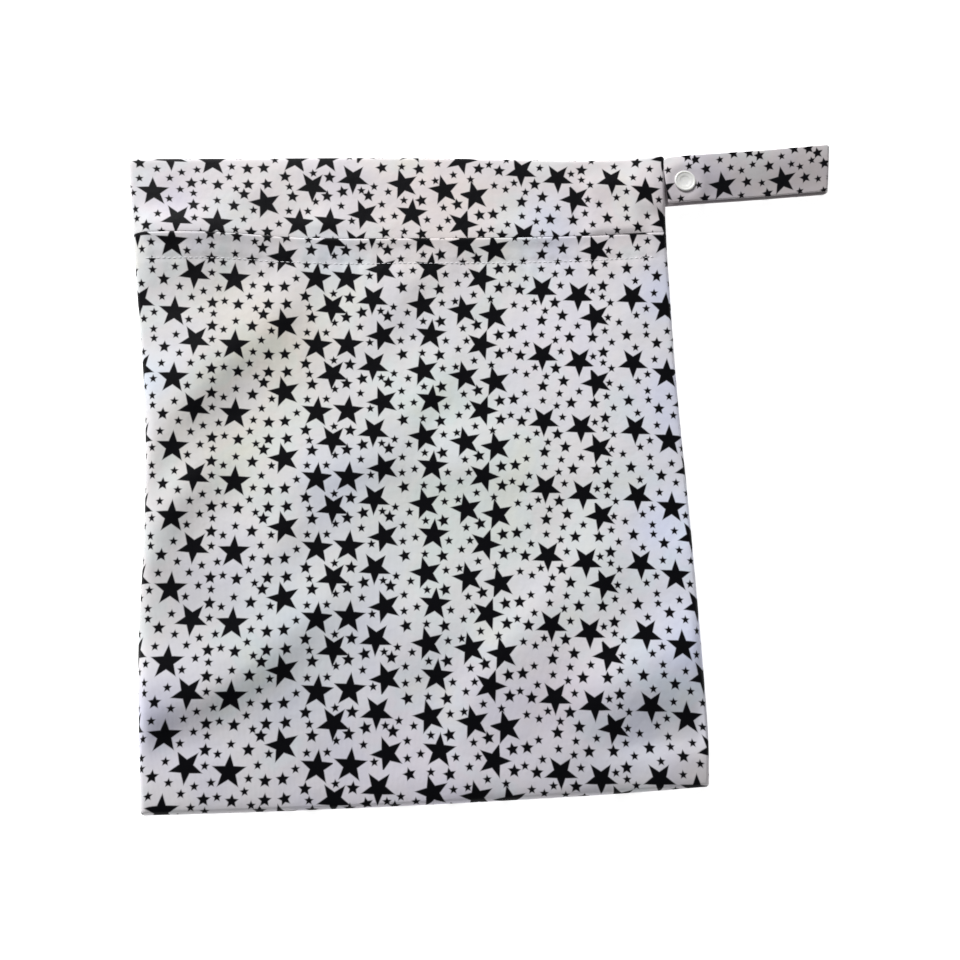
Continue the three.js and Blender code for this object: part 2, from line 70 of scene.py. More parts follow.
# The print: black stars of three sizes, charted over one repeat of the cloth. Each star is
# across, up and its turn in degrees, in mm on the cloth.
starPrint = {
    "repeat": ((270.2, 1.0), (0.0, 37.4)),
    "shear": 0.0,  # how far a star's sides climb, per mm across
    "radius": {"bigStar": 8.95, "midStar": 3.5, "tinyStar": 2.35},
    "waist": {"bigStar": 0.42, "midStar": 0.49, "tinyStar": 0.50},  # inner corners, in radii
    "blur": 0.38,  # how far the ink bleeds
    "bigStar": [
        (-129.4, 9.2, -3), (-118.0, 30.5, 31), (-96.7, 27.2, -3), (-70.3, 39.2, 13),
        (-52.8, 27.8, -6), (-36.1, 28.2, -6), (-44.4, 11.7, 32), (-22.2, 16.3, 32),
        (-17.2, 33.1, 19), (4.9, 13.2, 13), (9.3, 33.8, -6), (27.4, 10.0, 11),
        (44.2, 6.9, 11), (37.0, 28.0, -21), (70.8, 21.4, 34), (91.3, 17.7, 34),
        (100.7, 5.6, 22), (121.7, 16.6, 34),
    ],
    "midStar": [
        (-134.6, 26.9, -3), (-108.9, 38.3, -3), (-108.8, 14.1, -3), (-94.9, 12.8, -3),
        (-87.3, 37.7, -3), (-81.3, 6.9, -3), (-78.6, 22.2, -3), (-69.9, 22.7, 0),
        (-78.7, 12.7, -3), (-68.8, 12.9, 12), (-58.8, 17.5, -5), (-55.4, 5.9, -5),
        (-34.9, 17.0, -5), (-36.8, 6.2, -5), (-28.2, 8.8, 12), (-14.2, 6.5, -3),
        (-6.3, 22.6, 14), (14.0, 22.0, 10), (14.8, 3.9, 12), (34.7, 39.3, 11),
        (46.8, 33.3, 8), (54.4, 34.0, -3), (47.0, 22.6, -5), (58.5, 21.5, -3),
        (70.7, 3.8, -3), (78.1, 13.9, -3), (82.3, 6.6, -3), (86.2, 31.5, -3),
        (99.1, 31.2, -4), (105.0, 22.8, -3), (118.5, 32.4, -3),
    ],
    "tinyStar": [
        (-140.7, 37.0, 0), (-140.4, 31.8, 0), (-128.4, 33.7, -3), (-121.6, 42.2, 0),
        (-126.3, 23.1, -3), (-136.0, 17.6, 0), (-120.0, 17.3, -3), (-140.4, 9.0, 0),
        (-115.0, 10.3, 0), (-108.2, 7.9, -3), (-113.5, 20.7, 0), (-105.3, 22.2, 3),
        (-102.2, 15.0, 0), (-108.7, 30.6, -3), (-102.6, 36.1, 0), (-96.1, 40.8, 0),
        (-86.8, 23.6, 0), (-88.7, 17.3, 5), (-85.4, 10.3, 0), (-82.4, 30.0, -3),
        (-77.0, 35.3, 0), (-63.6, 27.4, 3), (-58.0, 35.0, 0), (-47.7, 35.0, 0),
        (-43.6, 19.4, 5), (-56.8, 11.6, -3), (-43.1, 40.5, 0), (-29.3, 38.0, 0),
        (-24.0, 29.3, 3), (-7.0, 39.0, 0), (-7.2, 30.4, 0), (-0.4, 32.4, -3),
        (4.5, 23.3, 0), (5.2, 41.4, 0), (17.5, 30.3, 3), (15.6, 14.3, 0),
        (22.8, 15.3, 5), (-11.0, 11.7, 0), (-18.0, 9.5, 0), (-3.4, 8.8, 3),
        (27.0, 37.3, 0), (28.9, 30.2, 0), (24.2, 25.4, 0), (33.0, 18.9, 5),
        (42.4, 16.3, 0), (52.6, 25.0, 0), (55.4, 13.0, 0), (61.7, 10.8, -3),
        (66.6, 14.6, 0), (72.7, 9.4, 0), (61.9, 28.0, 3), (60.6, 37.7, 0),
        (70.5, 33.1, 0), (78.2, 30.0, 0), (79.8, 36.9, 0), (81.2, 23.5, -3),
        (90.8, 38.0, 0), (106.1, 35.0, 0), (109.9, 28.5, 0), (99.1, 20.4, 3),
        (104.7, 16.8, 0), (109.3, 13.5, 0), (107.9, 5.1, 0), (114.2, 39.8, 0),
        (123.4, 25.5, 0), (124.2, 6.3, 0),
    ],
}

# The strap shows a strip of the print: along the strap from the seam, across it and turn.
strapPrint = {
    "repeat": ((107.0, 0.0), (0.0, 270.0)),
    "shear": 0.16,
    "radius": starPrint["radius"],
    "bigStar": [(-4.0, -6.3, 0), (32.2, -6.2, -1), (68.4, -5.5, 1)],
    "midStar": [
        (23.8, 4.7, 5), (18.3, 10.9, 0), (13.9, 13.2, 0), (47.1, -4.7, 3), (41.7, 13.4, 0), (51.2, 13.4, 0),
        (56.9, 11.0, 0), (61.8, 4.1, 3), (78.4, 13.6, 0), (87.0, 13.0, 0), (91.8, 9.8, 0), (82.0, -4.8, 5),
        (94.8, 3.1, 0), (20.6, -13.2, 0), (58.3, -12.7, 0),
    ],
    "tinyStar": [
        (1.4, 5.6, 0), (13.9, 7.0, 0), (18.0, -5.0, 0), (6.4, -12.3, 0), (33.0, 10.0, 0), (38.7, 4.7, 0),
        (44.9, 2.6, 0), (52.2, 5.8, 0), (55.9, -5.9, 0), (42.4, -12.7, 0), (70.1, 9.5, 0), (75.2, 4.2, 0),
        (80.1, 2.2, 0), (87.6, 5.5, 0), (89.5, -6.3, 0), (77.6, -12.9, 0), (91.7, -13.6, 0), (96.6, -6.9, 0),
    ],
}
starKinds = ("bigStar", "midStar", "tinyStar")
noStar = 9.0  # a place in a star's own axes that is far outside it


# For each face: the star of one kind that is nearest to its middle, over the repeat and its eight
# neighbours, and the face's corners in that star's axes (tip upwards, radius 1).
def cornersInStar(chart, kind, cornerU, cornerV):
    stars = np.array(chart[kind], float)
    (acrossU, acrossV), (upU, upV) = chart["repeat"]
    midU, midV = cornerU.mean(1), cornerV.mean(1)
    i = np.round(midU / acrossU)
    j = np.floor((midV - i * acrossV) / upV)
    baseU, baseV = i * acrossU + j * upU, i * acrossV + j * upV
    nearest = np.full(len(midU), np.inf)
    starU, starV, turn = (np.zeros(len(midU)) for _ in range(3))
    for a in (-1, 0, 1):
        for b in (-1, 0, 1):
            placeU = stars[:, 0] + a * acrossU + b * upU
            placeV = stars[:, 1] + a * acrossV + b * upV
            away = np.hypot((midU - baseU)[:, None] - placeU, (midV - baseV)[:, None] - placeV)
            k = away.argmin(1)
            closest = away[np.arange(len(k)), k]
            better = closest < nearest
            nearest = np.where(better, closest, nearest)
            starU = np.where(better, placeU[k], starU)
            starV = np.where(better, placeV[k], starV)
            turn = np.where(better, np.radians(stars[k, 2]), turn)
    awayU = cornerU - (baseU + starU)[:, None]
    awayV = cornerV - (baseV + starV)[:, None] - chart["shear"] * awayU
    cosT, sinT = np.cos(turn)[:, None], np.sin(turn)[:, None]
    radius = chart["radius"][kind]
    return np.stack([awayU * cosT + awayV * sinT, awayV * cosT - awayU * sinT], -1) / radius


# A new material, with its node tree and its shader.
def newMaterial(name):
    made = bpy.data.materials.new(name)
    made.use_nodes = True
    tree = made.node_tree
    return made, tree, tree.nodes["Principled BSDF"]


# A new node with its settings.
def addNode(tree, kind, **settings):
    node = tree.nodes.new(kind)
    for key, value in settings.items():
        setattr(node, key, value)
    return node


# The output of a math node whose values are numbers or other nodes' outputs.
def mathNode(tree, operation, *values):
    node = addNode(tree, "ShaderNodeMath", operation=operation)
    for socket, value in zip(node.inputs, values):
        if isinstance(value, (int, float)):
            socket.default_value = value
        else:
            tree.links.new(value, socket)
    return node.outputs[0]


# Ink of one kind of star: the angle folds into one tenth of a turn, where the star's side is a
# straight line from its tip to its waist, and the ink fades over the blur on that line.
def starInk(tree, kind):
    place = addNode(tree, "ShaderNodeUVMap", uv_map=kind)
    split = addNode(tree, "ShaderNodeSeparateXYZ")
    tree.links.new(place.outputs[0], split.inputs[0])
    length = addNode(tree, "ShaderNodeVectorMath", operation="LENGTH")
    tree.links.new(place.outputs[0], length.inputs[0])
    tenth = math.pi / 5
    folded = mathNode(tree, "PINGPONG", mathNode(tree, "ARCTAN2", split.outputs[0], split.outputs[1]), tenth)
    alongTip = mathNode(tree, "MULTIPLY", length.outputs["Value"], mathNode(tree, "COSINE", folded))
    fromTip = mathNode(tree, "MULTIPLY", length.outputs["Value"], mathNode(tree, "SINE", folded))
    waist = starPrint["waist"][kind]
    waistX, waistY = waist * math.cos(tenth), waist * math.sin(tenth)
    side = math.hypot(1 - waistX, waistY)
    outX, outY = waistY / side, (1 - waistX) / side
    beyond = mathNode(tree, "ADD", mathNode(tree, "MULTIPLY", alongTip, outX),
                      mathNode(tree, "MULTIPLY_ADD", fromTip, outY, -outX))
    blur = starPrint["blur"] / starPrint["radius"][kind]
    fade = addNode(tree, "ShaderNodeMapRange", interpolation_type="SMOOTHSTEP")
    tree.links.new(beyond, fade.inputs["Value"])
    fade.inputs["From Min"].default_value = blur
    fade.inputs["From Max"].default_value = -blur
    return fade.outputs["Result"]


clothLook = {
    "ink": (0.0022, 0.0022, 0.0034, 1),
    "tints": [(0.30, (0.64, 0.63, 0.68, 1)), (0.43, (0.67, 0.66, 0.69, 1)), (0.52, (0.69, 0.67, 0.68, 1)),
              (0.60, (0.66, 0.68, 0.69, 1)), (0.72, (0.69, 0.69, 0.66, 1))],
    "tintSize": 28.0,  # patches per metre
    "roughness": 0.55,
    "gloss": 0.30,
    "inkGloss": 0.06,
    "knitPitch": 0.62,  # mm from one rib of the knit to the next
    "knitDepth": 0.035,
    "creaseSize": 210.0,
    "creaseDepth": 0.16,
}


# Painted light and shade on the cloth, with faint tints: lighter or darker from place to place as light
# falls or shade lies (darker on the strap and at the lower corners), and warmer or bluer, partly the film's
# own tint and partly the painted colour of the light. x, y and reach of each tone in mm, how many hundredths
# lighter it is, and how many it adds to red and to blue.
paintedShadeAndTints = [
    (-60, 155, 60, 0, 4, -1), (20, 150, 40, 0, 7, -4), (110, 155, 45, 0, 6, 0), (-135, 150, 25, 0, 3, 6),
    (75, 140, 16, 0, -7, 8), (-45, 117, 18, 0, -5, 7), (75, 116, 20, 0, -3, 6), (-72, 68, 30, 0, 3, -10),
    (-100, 15, 34, 0, 1, -8), (-45, -10, 22, 0, -3, 7), (5, -45, 60, 0, -5, -5), (20, 30, 40, 0, -4, -1),
    (75, 60, 26, 0, 2, 5), (-142, 48, 14, 0, -8, 7), (144, 95, 20, 0, -5, 12), (144, 30, 28, 0, -4, 14),
    (144, -40, 30, 0, -7, 16), (144, -105, 28, 0, -6, 16), (-138, -140, 24, 0, 0, 9),
    (0, -155, 90, 0, 2, 8), (78, -128, 22, -6, 5, 3), (108, -140, 28, -4, -4, 7),
    (152, 153, 14, -28, 3, 2), (178, 160, 20, -36, 4, 2), (172, 178, 12, -6, 0, 4),
    (208, 164, 22, -36, 5, 0), (240, 170, 24, -44, 6, 0), (-105, 163, 50, -8, 0, 0),
    (-20, 160, 50, -7, 0, 0), (70, 160, 55, -9, 0, 0), (-142, -60, 40, -12, 0, 0),
    (-140, 100, 30, -8, 0, 0), (50, 45, 75, 5, 0, 0), (-60, -135, 30, -11, 0, 0),
    (10, -125, 35, -4, 0, 0), (-138, 155, 22, -12, 0, 0), (-85, 138, 26, -8, 0, 0),
    (105, 168, 18, -12, 0, 0), (-108, 60, 22, -9, 0, 0), (105, 80, 35, 7, 0, 0), (-110, 8, 18, -10, 0, 0),
    (142, -35, 30, 12, 0, 0), (-110, -85, 32, -12, 0, 0), (75, -140, 24, -12, 0, 0),
    (142, -142, 26, -16, 0, 0), (-138, -138, 16, -14, -2, 4), (-138, 120, 12, 12, 0, 0),
    (-138, -10, 16, -8, 0, 0), (15, 12, 16, 9, 0, 0), (-45, 85, 14, 8, 0, 0), (-105, 120, 16, -6, -3, 2),
    (142, -168, 14, -12, 3, 0), (-60, -110, 40, 0, -5, 0), (-72, -78, 24, 0, -4, 0),
    (-105, 95, 20, -6, 0, -5),
]


# How much painted light or shade lies at a place, and its share of red and of blue against green.
def paintedShadeAndTint(x, y):
    light, red, blue = np.ones(x.shape), np.ones(x.shape), np.ones(x.shape)
    for toneX, toneY, reach, lighter, moreRed, moreBlue in paintedShadeAndTints:
        there = 0.01 * np.exp(-((x - toneX) ** 2 + (y - toneY) ** 2) / reach**2)
        light += lighter * there
        red += moreRed * there
        blue += moreBlue * there
    return light, red * light, blue * light


# Laminated knit: small patches of faint tint, times the painted light and shade and the tints of the table
# above, the ribs of the knit and small creases as bump, and the printed stars on top where the piece is
# printed.
def clothMaterial(name, printed=True, shade=1.0):
    made, tree, shader = newMaterial(name)
    links = tree.links
    place = addNode(tree, "ShaderNodeTexCoord").outputs["Object"]
    patch = addNode(tree, "ShaderNodeTexNoise")
    patch.inputs["Scale"].default_value = clothLook["tintSize"]
    patch.inputs["Detail"].default_value = 3.0
    links.new(place, patch.inputs["Vector"])
    tint = addNode(tree, "ShaderNodeValToRGB")
    ramp = tint.color_ramp
    while len(ramp.elements) < len(clothLook["tints"]):
        ramp.elements.new(0.5)
    for element, (at, colour) in zip(ramp.elements, clothLook["tints"]):
        element.position = at
        element.color = [c * shade for c in colour[:3]] + [1]
    links.new(patch.outputs["Fac"], tint.inputs[0])
    # The painted light and shade and the tints come in through two UV maps and multiply the cloth's colour.
    tone = addNode(tree, "ShaderNodeSeparateXYZ")
    links.new(addNode(tree, "ShaderNodeUVMap", uv_map="paintedShadeAndTint").outputs[0], tone.inputs[0])
    light = addNode(tree, "ShaderNodeSeparateXYZ")
    links.new(addNode(tree, "ShaderNodeUVMap", uv_map="paintedLightAndShade").outputs[0], light.inputs[0])
    tintAndPaintedShade = addNode(tree, "ShaderNodeCombineXYZ")
    links.new(tone.outputs[0], tintAndPaintedShade.inputs[0])
    links.new(light.outputs[0], tintAndPaintedShade.inputs[1])
    links.new(tone.outputs[1], tintAndPaintedShade.inputs[2])
    toned = addNode(tree, "ShaderNodeVectorMath", operation="MULTIPLY")
    links.new(tint.outputs[0], toned.inputs[0])
    links.new(tintAndPaintedShade.outputs[0], toned.inputs[1])
    colour = toned.outputs[0]
    shader.inputs["Specular IOR Level"].default_value = clothLook["gloss"]
    if printed:
        ink = starInk(tree, starKinds[0])
        for kind in starKinds[1:]:
            ink = mathNode(tree, "MAXIMUM", ink, starInk(tree, kind))
        mix = addNode(tree, "ShaderNodeMix", data_type="RGBA")
        links.new(ink, mix.inputs["Factor"])
        links.new(colour, mix.inputs[6])
        mix.inputs[7].default_value = clothLook["ink"]
        colour = mix.outputs[2]
        duller = clothLook["inkGloss"] - clothLook["gloss"]
        gloss = mathNode(tree, "MULTIPLY_ADD", ink, duller, clothLook["gloss"])
        links.new(gloss, shader.inputs["Specular IOR Level"])
    links.new(colour, shader.inputs["Base Color"])
    shader.inputs["Roughness"].default_value = clothLook["roughness"]

    grain = addNode(tree, "ShaderNodeUVMap", uv_map="clothGrain").outputs[0]
    rib = addNode(tree, "ShaderNodeTexWave", wave_type="BANDS", bands_direction="X")
    rib.inputs["Scale"].default_value = 2 * math.pi / (20 * clothLook["knitPitch"]) * 1000
    rib.inputs["Distortion"].default_value = 0.6
    links.new(grain, rib.inputs["Vector"])
    ribBump = addNode(tree, "ShaderNodeBump")
    ribBump.inputs["Distance"].default_value = clothLook["knitDepth"] * mm
    links.new(rib.outputs["Fac"], ribBump.inputs["Height"])
    crease = addNode(tree, "ShaderNodeTexNoise")
    crease.inputs["Scale"].default_value = clothLook["creaseSize"]
    crease.inputs["Detail"].default_value = 4.0
    links.new(place, crease.inputs["Vector"])
    creaseBump = addNode(tree, "ShaderNodeBump")
    creaseBump.inputs["Distance"].default_value = clothLook["creaseDepth"] * mm
    links.new(crease.outputs["Fac"], creaseBump.inputs["Height"])
    links.new(ribBump.outputs[0], creaseBump.inputs["Normal"])
    links.new(creaseBump.outputs[0], shader.inputs["Normal"])
    return made


printCloth = clothMaterial("starPrintCloth")
liningFilm = clothMaterial("liningFilm", printed=False, shade=1.1)

print("materials are made")


# An object of a mesh and its materials, put into the scene.
def addObject(name, mesh, *materials):
    made = bpy.data.objects.new(name, mesh)
    for material in materials:
        mesh.materials.append(material)
    bpy.context.scene.collection.objects.link(made)
    return made


# A mesh from an array of points in mm and an array of four-cornered faces.
def meshFrom(name, points, quads, smooth=True):
    mesh = bpy.data.meshes.new(name)
    mesh.vertices.add(len(points))
    mesh.vertices.foreach_set("co", (np.asarray(points, float) * mm).ravel())
    mesh.loops.add(quads.size)
    mesh.loops.foreach_set("vertex_index", quads.astype(np.int32).ravel())
    mesh.polygons.add(len(quads))
    mesh.polygons.foreach_set("loop_start", np.arange(0, quads.size, 4, dtype=np.int32))
    mesh.update(calc_edges=True)
    mesh.polygons.foreach_set("use_smooth", np.full(len(quads), smooth))
    mesh.validate()
    return mesh


# The faces of a closed skin between two grids of rows by columns points, one over the other. The
# first rows * columns points are the outer grid, the rest the inner one.
def skinQuads(rows, columns):
    spot = np.arange(rows * columns).reshape(rows, columns)
    under = spot + rows * columns
    a, b, c, d = spot[:-1, :-1], spot[:-1, 1:], spot[1:, 1:], spot[1:, :-1]
    outer = np.stack([a, b, c, d], -1).reshape(-1, 4)
    inner = (outer + rows * columns)[:, ::-1]
    rim = [
        np.stack([under[0, :-1], under[0, 1:], spot[0, 1:], spot[0, :-1]], -1),
        np.stack([spot[-1, :-1], spot[-1, 1:], under[-1, 1:], under[-1, :-1]], -1),
        np.stack([spot[:-1, 0], spot[1:, 0], under[1:, 0], under[:-1, 0]], -1),
        np.stack([under[:-1, -1], under[1:, -1], spot[1:, -1], spot[:-1, -1]], -1),
    ]
    return outer, np.concatenate([inner] + rim)


# A piece of cloth: two grids of points closed into one skin, printed on its outer side. clothU and
# clothV are the places of the outer points on the flat cloth, in mm.
def clothPiece(pieceName, outer, inner, clothU, clothV, chart, turned=False, linedInside=True):
    rows, columns = outer.shape[:2]
    printed, plain = skinQuads(rows, columns)
    if turned:
        printed, plain = printed[:, ::-1], plain[:, ::-1]
    quads = np.concatenate([printed, plain])
    mesh = meshFrom(pieceName, np.concatenate([outer.reshape(-1, 3), inner.reshape(-1, 3)]), quads)
    flatU = np.concatenate([clothU.ravel(), clothU.ravel()])
    flatV = np.concatenate([clothV.ravel(), clothV.ravel()])
    for kind in starKinds:
        corners = np.full((len(quads), 4, 2), noStar)
        corners[:len(printed)] = cornersInStar(chart, kind, flatU[printed], flatV[printed])
        mesh.uv_layers.new(name=kind).uv.foreach_set("vector", corners.astype(np.float32).ravel())
    grain = np.stack([flatU[quads], flatV[quads]], -1) * mm
    mesh.uv_layers.new(name="clothGrain").uv.foreach_set("vector", grain.astype(np.float32).ravel())
    # Painted light and shade, with the tints, are worked out at each point and kept in two UV maps.
    light, red, blue = paintedShadeAndTint(*np.concatenate([outer.reshape(-1, 3), inner.reshape(-1, 3)])[:, :2].T)
    for name, first, second in (("paintedShadeAndTint", red, blue), ("paintedLightAndShade", light, light)):
        tone = np.stack([first[quads], second[quads]], -1)
        mesh.uv_layers.new(name=name).uv.foreach_set("vector", tone.astype(np.float32).ravel())
    made = addObject(pieceName, mesh, printCloth, liningFilm)
    if linedInside:
        lined = np.zeros(len(quads), np.int32)
        lined[len(printed):len(printed) + (rows - 1) * (columns - 1)] = 1
        mesh.polygons.foreach_set("material_index", lined)
    return made


# How far each grid point is along its row or column on the cloth, beyond its plain distance in plan:
# the sum of the slant lengths less the level ones, counted from the start row or column outwards.
def extraLength(points, axis, start):
    step = np.diff(points, axis=axis)
    slant = np.linalg.norm(step, axis=2)
    level = np.hypot(step[..., 0], step[..., 1])
    extra = np.cumsum(slant - level, axis=axis)
    pad = [(0, 0), (0, 0)]
    pad[axis] = (1, 0)
    extra = np.pad(extra, pad)
    return extra - np.take(extra, [start], axis=axis)


# The bag's outline, as the frame has it. The side seams are in half widths at each share up, the bottom
# and top seams in half heights at each share across, and the flap in flap depths.
bag = {
    "width": 297.0, "height": 357.0,
    "up": [0.00, 0.08, 0.24, 0.42, 0.60, 0.80, 0.90, 1.00],
    "left": [-0.958, -0.968, -0.981, -0.971, -0.981, -1.024, -1.044, -1.066],
    "right": [1.028, 1.035, 1.027, 1.013, 0.995, 0.988, 0.988, 0.996],
    "across": [0.00, 0.15, 0.30, 0.50, 0.70, 0.86, 1.00],
    "bottom": [-1.012, -1.014, -1.014, -1.011, -1.005, -0.998, -0.988],
    "top": [0.985, 0.988, 0.992, 0.996, 0.994, 0.992, 1.008],
    "flap": [0.942, 0.963, 1.034, 1.051, 1.026, 0.984, 0.981],
    "flapDepth": 49.0,
    "zipRidge": [3.2, 3.6, 1.7, 1.1, 1.1, 0.7, 0.5],  # how far the zip lifts the cloth along the hem
    "ridgeAbove": 16.0,
    "ridgeBelow": [22, 19, 12, 11, 11, 11, 11],
    "ridgeFade": 9.0,  # from a side seam to the full height of the ridge
    "zipSetback": 6.5,  # hem to the middle of the coil
    "mouthSetback": 4.55,  # coil to the front panel's edge
    "cloth": 0.7,
    "seat": 1.2,  # underside of the front's rim
    "rimRadius": 3.0,
    # Each rim: the share of the loft that its tight turn takes, and the distance of the slower roll.
    "rims": {"left": (0.88, 8.0), "right": (0.90, 8.0), "bottom": (0.60, 9.0), "top": (0.85, 9.0)},
    "loft": 6.1,
    "crown": 2.6,
    "corner": 1.6,
    "cell": 2.0,  # the size of the grids' cells
}


# 0 below a share of 0 and 1 above a share of 1, with the cubic 3t^2 - 2t^3 between them.
def smooth(share):
    t = np.clip(share, 0, 1)
    return t * t * (3 - 2 * t)


# A smooth curve through the rows of a table: a cubic between each two, whose slope at a row is that
# between its neighbours.
def through(keys, values, at):
    keys, values = np.asarray(keys, float), np.asarray(values, float)
    last = len(keys) - 1
    before, after = np.maximum(np.arange(last + 1) - 1, 0), np.minimum(np.arange(last + 1) + 1, last)
    slope = (values[after] - values[before]) / (keys[after] - keys[before])
    i = np.clip(np.searchsorted(keys, at, side="right") - 1, 0, last - 1)
    span = keys[i + 1] - keys[i]
    t = (at - keys[i]) / span
    return (values[i] * (2 * t**3 - 3 * t**2 + 1) + slope[i] * span * (t**3 - 2 * t**2 + t)
            + values[i + 1] * (3 * t**2 - 2 * t**3) + slope[i + 1] * span * (t**3 - t**2))


# x at a share across: straight between the curves of the two side seams.
def seamX(across, up):
    left = through(bag["up"], bag["left"], up) * bag["width"] / 2
    right = through(bag["up"], bag["right"], up) * bag["width"] / 2
    return left + (right - left) * across


# y at a share up: straight between the curves of the bottom and the top seam.
def seamY(across, up):
    bottom = through(bag["across"], bag["bottom"], across) * bag["height"] / 2
    top = through(bag["across"], bag["top"], across) * bag["height"] / 2
    return bottom + (top - bottom) * up


# The share up of a height y, the other way round from seamY.
def upAt(across, y):
    return (y - seamY(across, 0.0)) / (seamY(across, 1.0) - seamY(across, 0.0))


# The hem lies the depth of the flap below the top seam.
def hemY(across):
    return seamY(across, 1.0) - bag["flapDepth"] * through(bag["across"], bag["flap"], across)


# The middle of the zip's coil lies a setback above the hem.
def coilY(across):
    return hemY(across) + bag["zipSetback"]


# The zip lifts the cloth along the hem: a bell curve that falls away above it and below it.
def zipRidge(across, y):
    away = y - hemY(across)
    above, below = bag["ridgeAbove"], through(bag["across"], bag["ridgeBelow"], across)
    fromSide = np.minimum(across, 1 - across) * bag["width"]
    high = through(bag["across"], bag["zipRidge"], across) * smooth(fromSide / bag["ridgeFade"])
    return high * np.exp(-(away / np.where(away > 0, above, below)) ** 2)


# Distances from one edge of a length to the other: even steps, and a tight quarter turn of eight
# steps at each end that rolls over.
def crowded(length, cell, startRim=True, endRim=True):
    rim = bag["rimRadius"] * (1 - np.cos(np.linspace(0, math.pi / 2, 9)[:-1]))
    first, last = (bag["rimRadius"] if flag else 0.0 for flag in (startRim, endRim))
    count = max(2, round((length - first - last) / cell))
    middle = np.linspace(first, length - last, count + 1)
    parts = [rim] if startRim else []
    parts.append(middle)
    if endRim:
        parts.append(length - rim[::-1])
    return np.concatenate(parts)


# A quarter circle: 0 at the edge and 1 at the radius and beyond.
def quarterTurn(distance, radius):
    t = 1 - np.clip(distance / radius, 0, 1)
    return np.sqrt(np.maximum(0, 1 - t * t))


# Rings of the square at a corner become arcs: a point keeps its ring and slides onto the circle.
def roundCorner(sides, ends, radius):
    a, b = np.clip(1 - sides / radius, 0, 1), np.clip(1 - ends / radius, 0, 1)
    keep = np.maximum(a, b) / np.maximum(np.hypot(a, b), 1e-9)
    keep = np.where(np.hypot(a, b) > 0, keep, 1)
    return sides + radius * a * (1 - keep), ends + radius * b * (1 - keep)


# Places between the seams at shares across and up, with the bag's corners rounded, and how far each
# is from the nearest side and the nearest end.
def seamPlaces(across, up):
    width, height = bag["width"], bag["height"]
    sides, ends = np.minimum(across, 1 - across) * width, np.minimum(up, 1 - up) * height
    roundSides, roundEnds = roundCorner(sides, ends, bag["corner"])
    across = np.where(across < 0.5, roundSides, width - roundSides) / width
    up = np.where(up < 0.5, roundEnds, height - roundEnds) / height
    return seamX(across, up), seamY(across, up), sides, ends


# Height of a single cloth's outer face over the floor: a quarter turn at each rim, a slower roll
# behind it, and a swelling towards the middle of the bag.
def loftHeight(across, up):
    def roll(distance, rim):
        tight, slow = bag["rims"][rim]
        return tight * quarterTurn(distance, bag["rimRadius"]) + (1 - tight) * (1 - np.exp(-distance / slow))
    width, height = bag["width"], bag["height"]
    rolls = roll(across * width, "left") * roll((1 - across) * width, "right") \
        * roll(up * height, "bottom") * roll((1 - up) * height, "top")
    crown = (1 - (2 * across - 1) ** 4) * (1 - (2 * up - 1) ** 2)
    return bag["seat"] + bag["loft"] * rolls + bag["crown"] * crown


# Random heights on a square grid, blended from one to the next.
def softNoise(x, y, cell, seed):
    heights = np.random.default_rng(seed).uniform(-1, 1, (64, 64))
    gridX, gridY = x / cell, y / cell
    i, j = np.floor(gridX).astype(int), np.floor(gridY).astype(int)
    fx, fy = (t * t * t * (t * (6 * t - 15) + 10) for t in (gridX - i, gridY - j))
    def at(di, dj):
        return heights[(i + di) % 64, (j + dj) % 64]
    low = at(0, 0) + (at(1, 0) - at(0, 0)) * fx
    high = at(0, 1) + (at(1, 1) - at(0, 1)) * fx
    return low + (high - low) * fy


# Distance from places to a fold's crest, a smooth curve through the points of its line, with the
# height of the crest at the nearest place. side runs from -1 on the left of the way that the crest
# runs to 1 on its right, and turns smoothly from one to the other round the crest's ends.
def fromCrest(line, x, y):
    line = np.asarray(line, float)
    last = len(line) - 1
    t = np.linspace(0, last, 6 * last + 1)
    curve = np.stack([through(np.arange(last + 1), line[:, axis], t) for axis in range(3)], -1)
    best = np.full(x.shape, np.inf)
    side, rise = np.zeros(x.shape), np.zeros(x.shape)
    for start, step in zip(curve[:-1], np.diff(curve, axis=0)):
        length = math.hypot(step[0], step[1])
        share = np.clip(((x - start[0]) * step[0] + (y - start[1]) * step[1]) / length**2, 0, 1)
        awayX, awayY = x - start[0] - share * step[0], y - start[1] - share * step[1]
        away = np.hypot(awayX, awayY)
        closer = away < best
        best = np.where(closer, away, best)
        sine = (awayX * step[1] - awayY * step[0]) / (length * np.maximum(away, 1e-6))
        side = np.where(closer, sine, side)
        rise = np.where(closer, start[2] + share * step[2], rise)
    return best, side, rise


# The height of all folds of a table together: each falls away from its crest as a bell curve, as wide
# on either side as its reach there.
def foldHeight(folds, x, y):
    total = np.zeros(x.shape)
    for fold in folds.values():
        away, side, rise = fromCrest(fold["crest"], x, y)
        reach = (fold["left"] + fold["right"]) / 2 + side * (fold["right"] - fold["left"]) / 2
        total += rise * np.exp(-(away / reach) ** 2)
    return total


# Grids outwards from a skin's outer points: the inner face lies one thickness behind, along the
# normal that the neighbours give.
def backedBy(outer, thickness):
    down = np.gradient(outer, axis=0)
    over = np.gradient(outer, axis=1)
    normal = np.cross(over, down)
    length = np.linalg.norm(normal, axis=2, keepdims=True)
    return outer - normal / np.maximum(length, 1e-9) * np.asarray(thickness)[..., None]


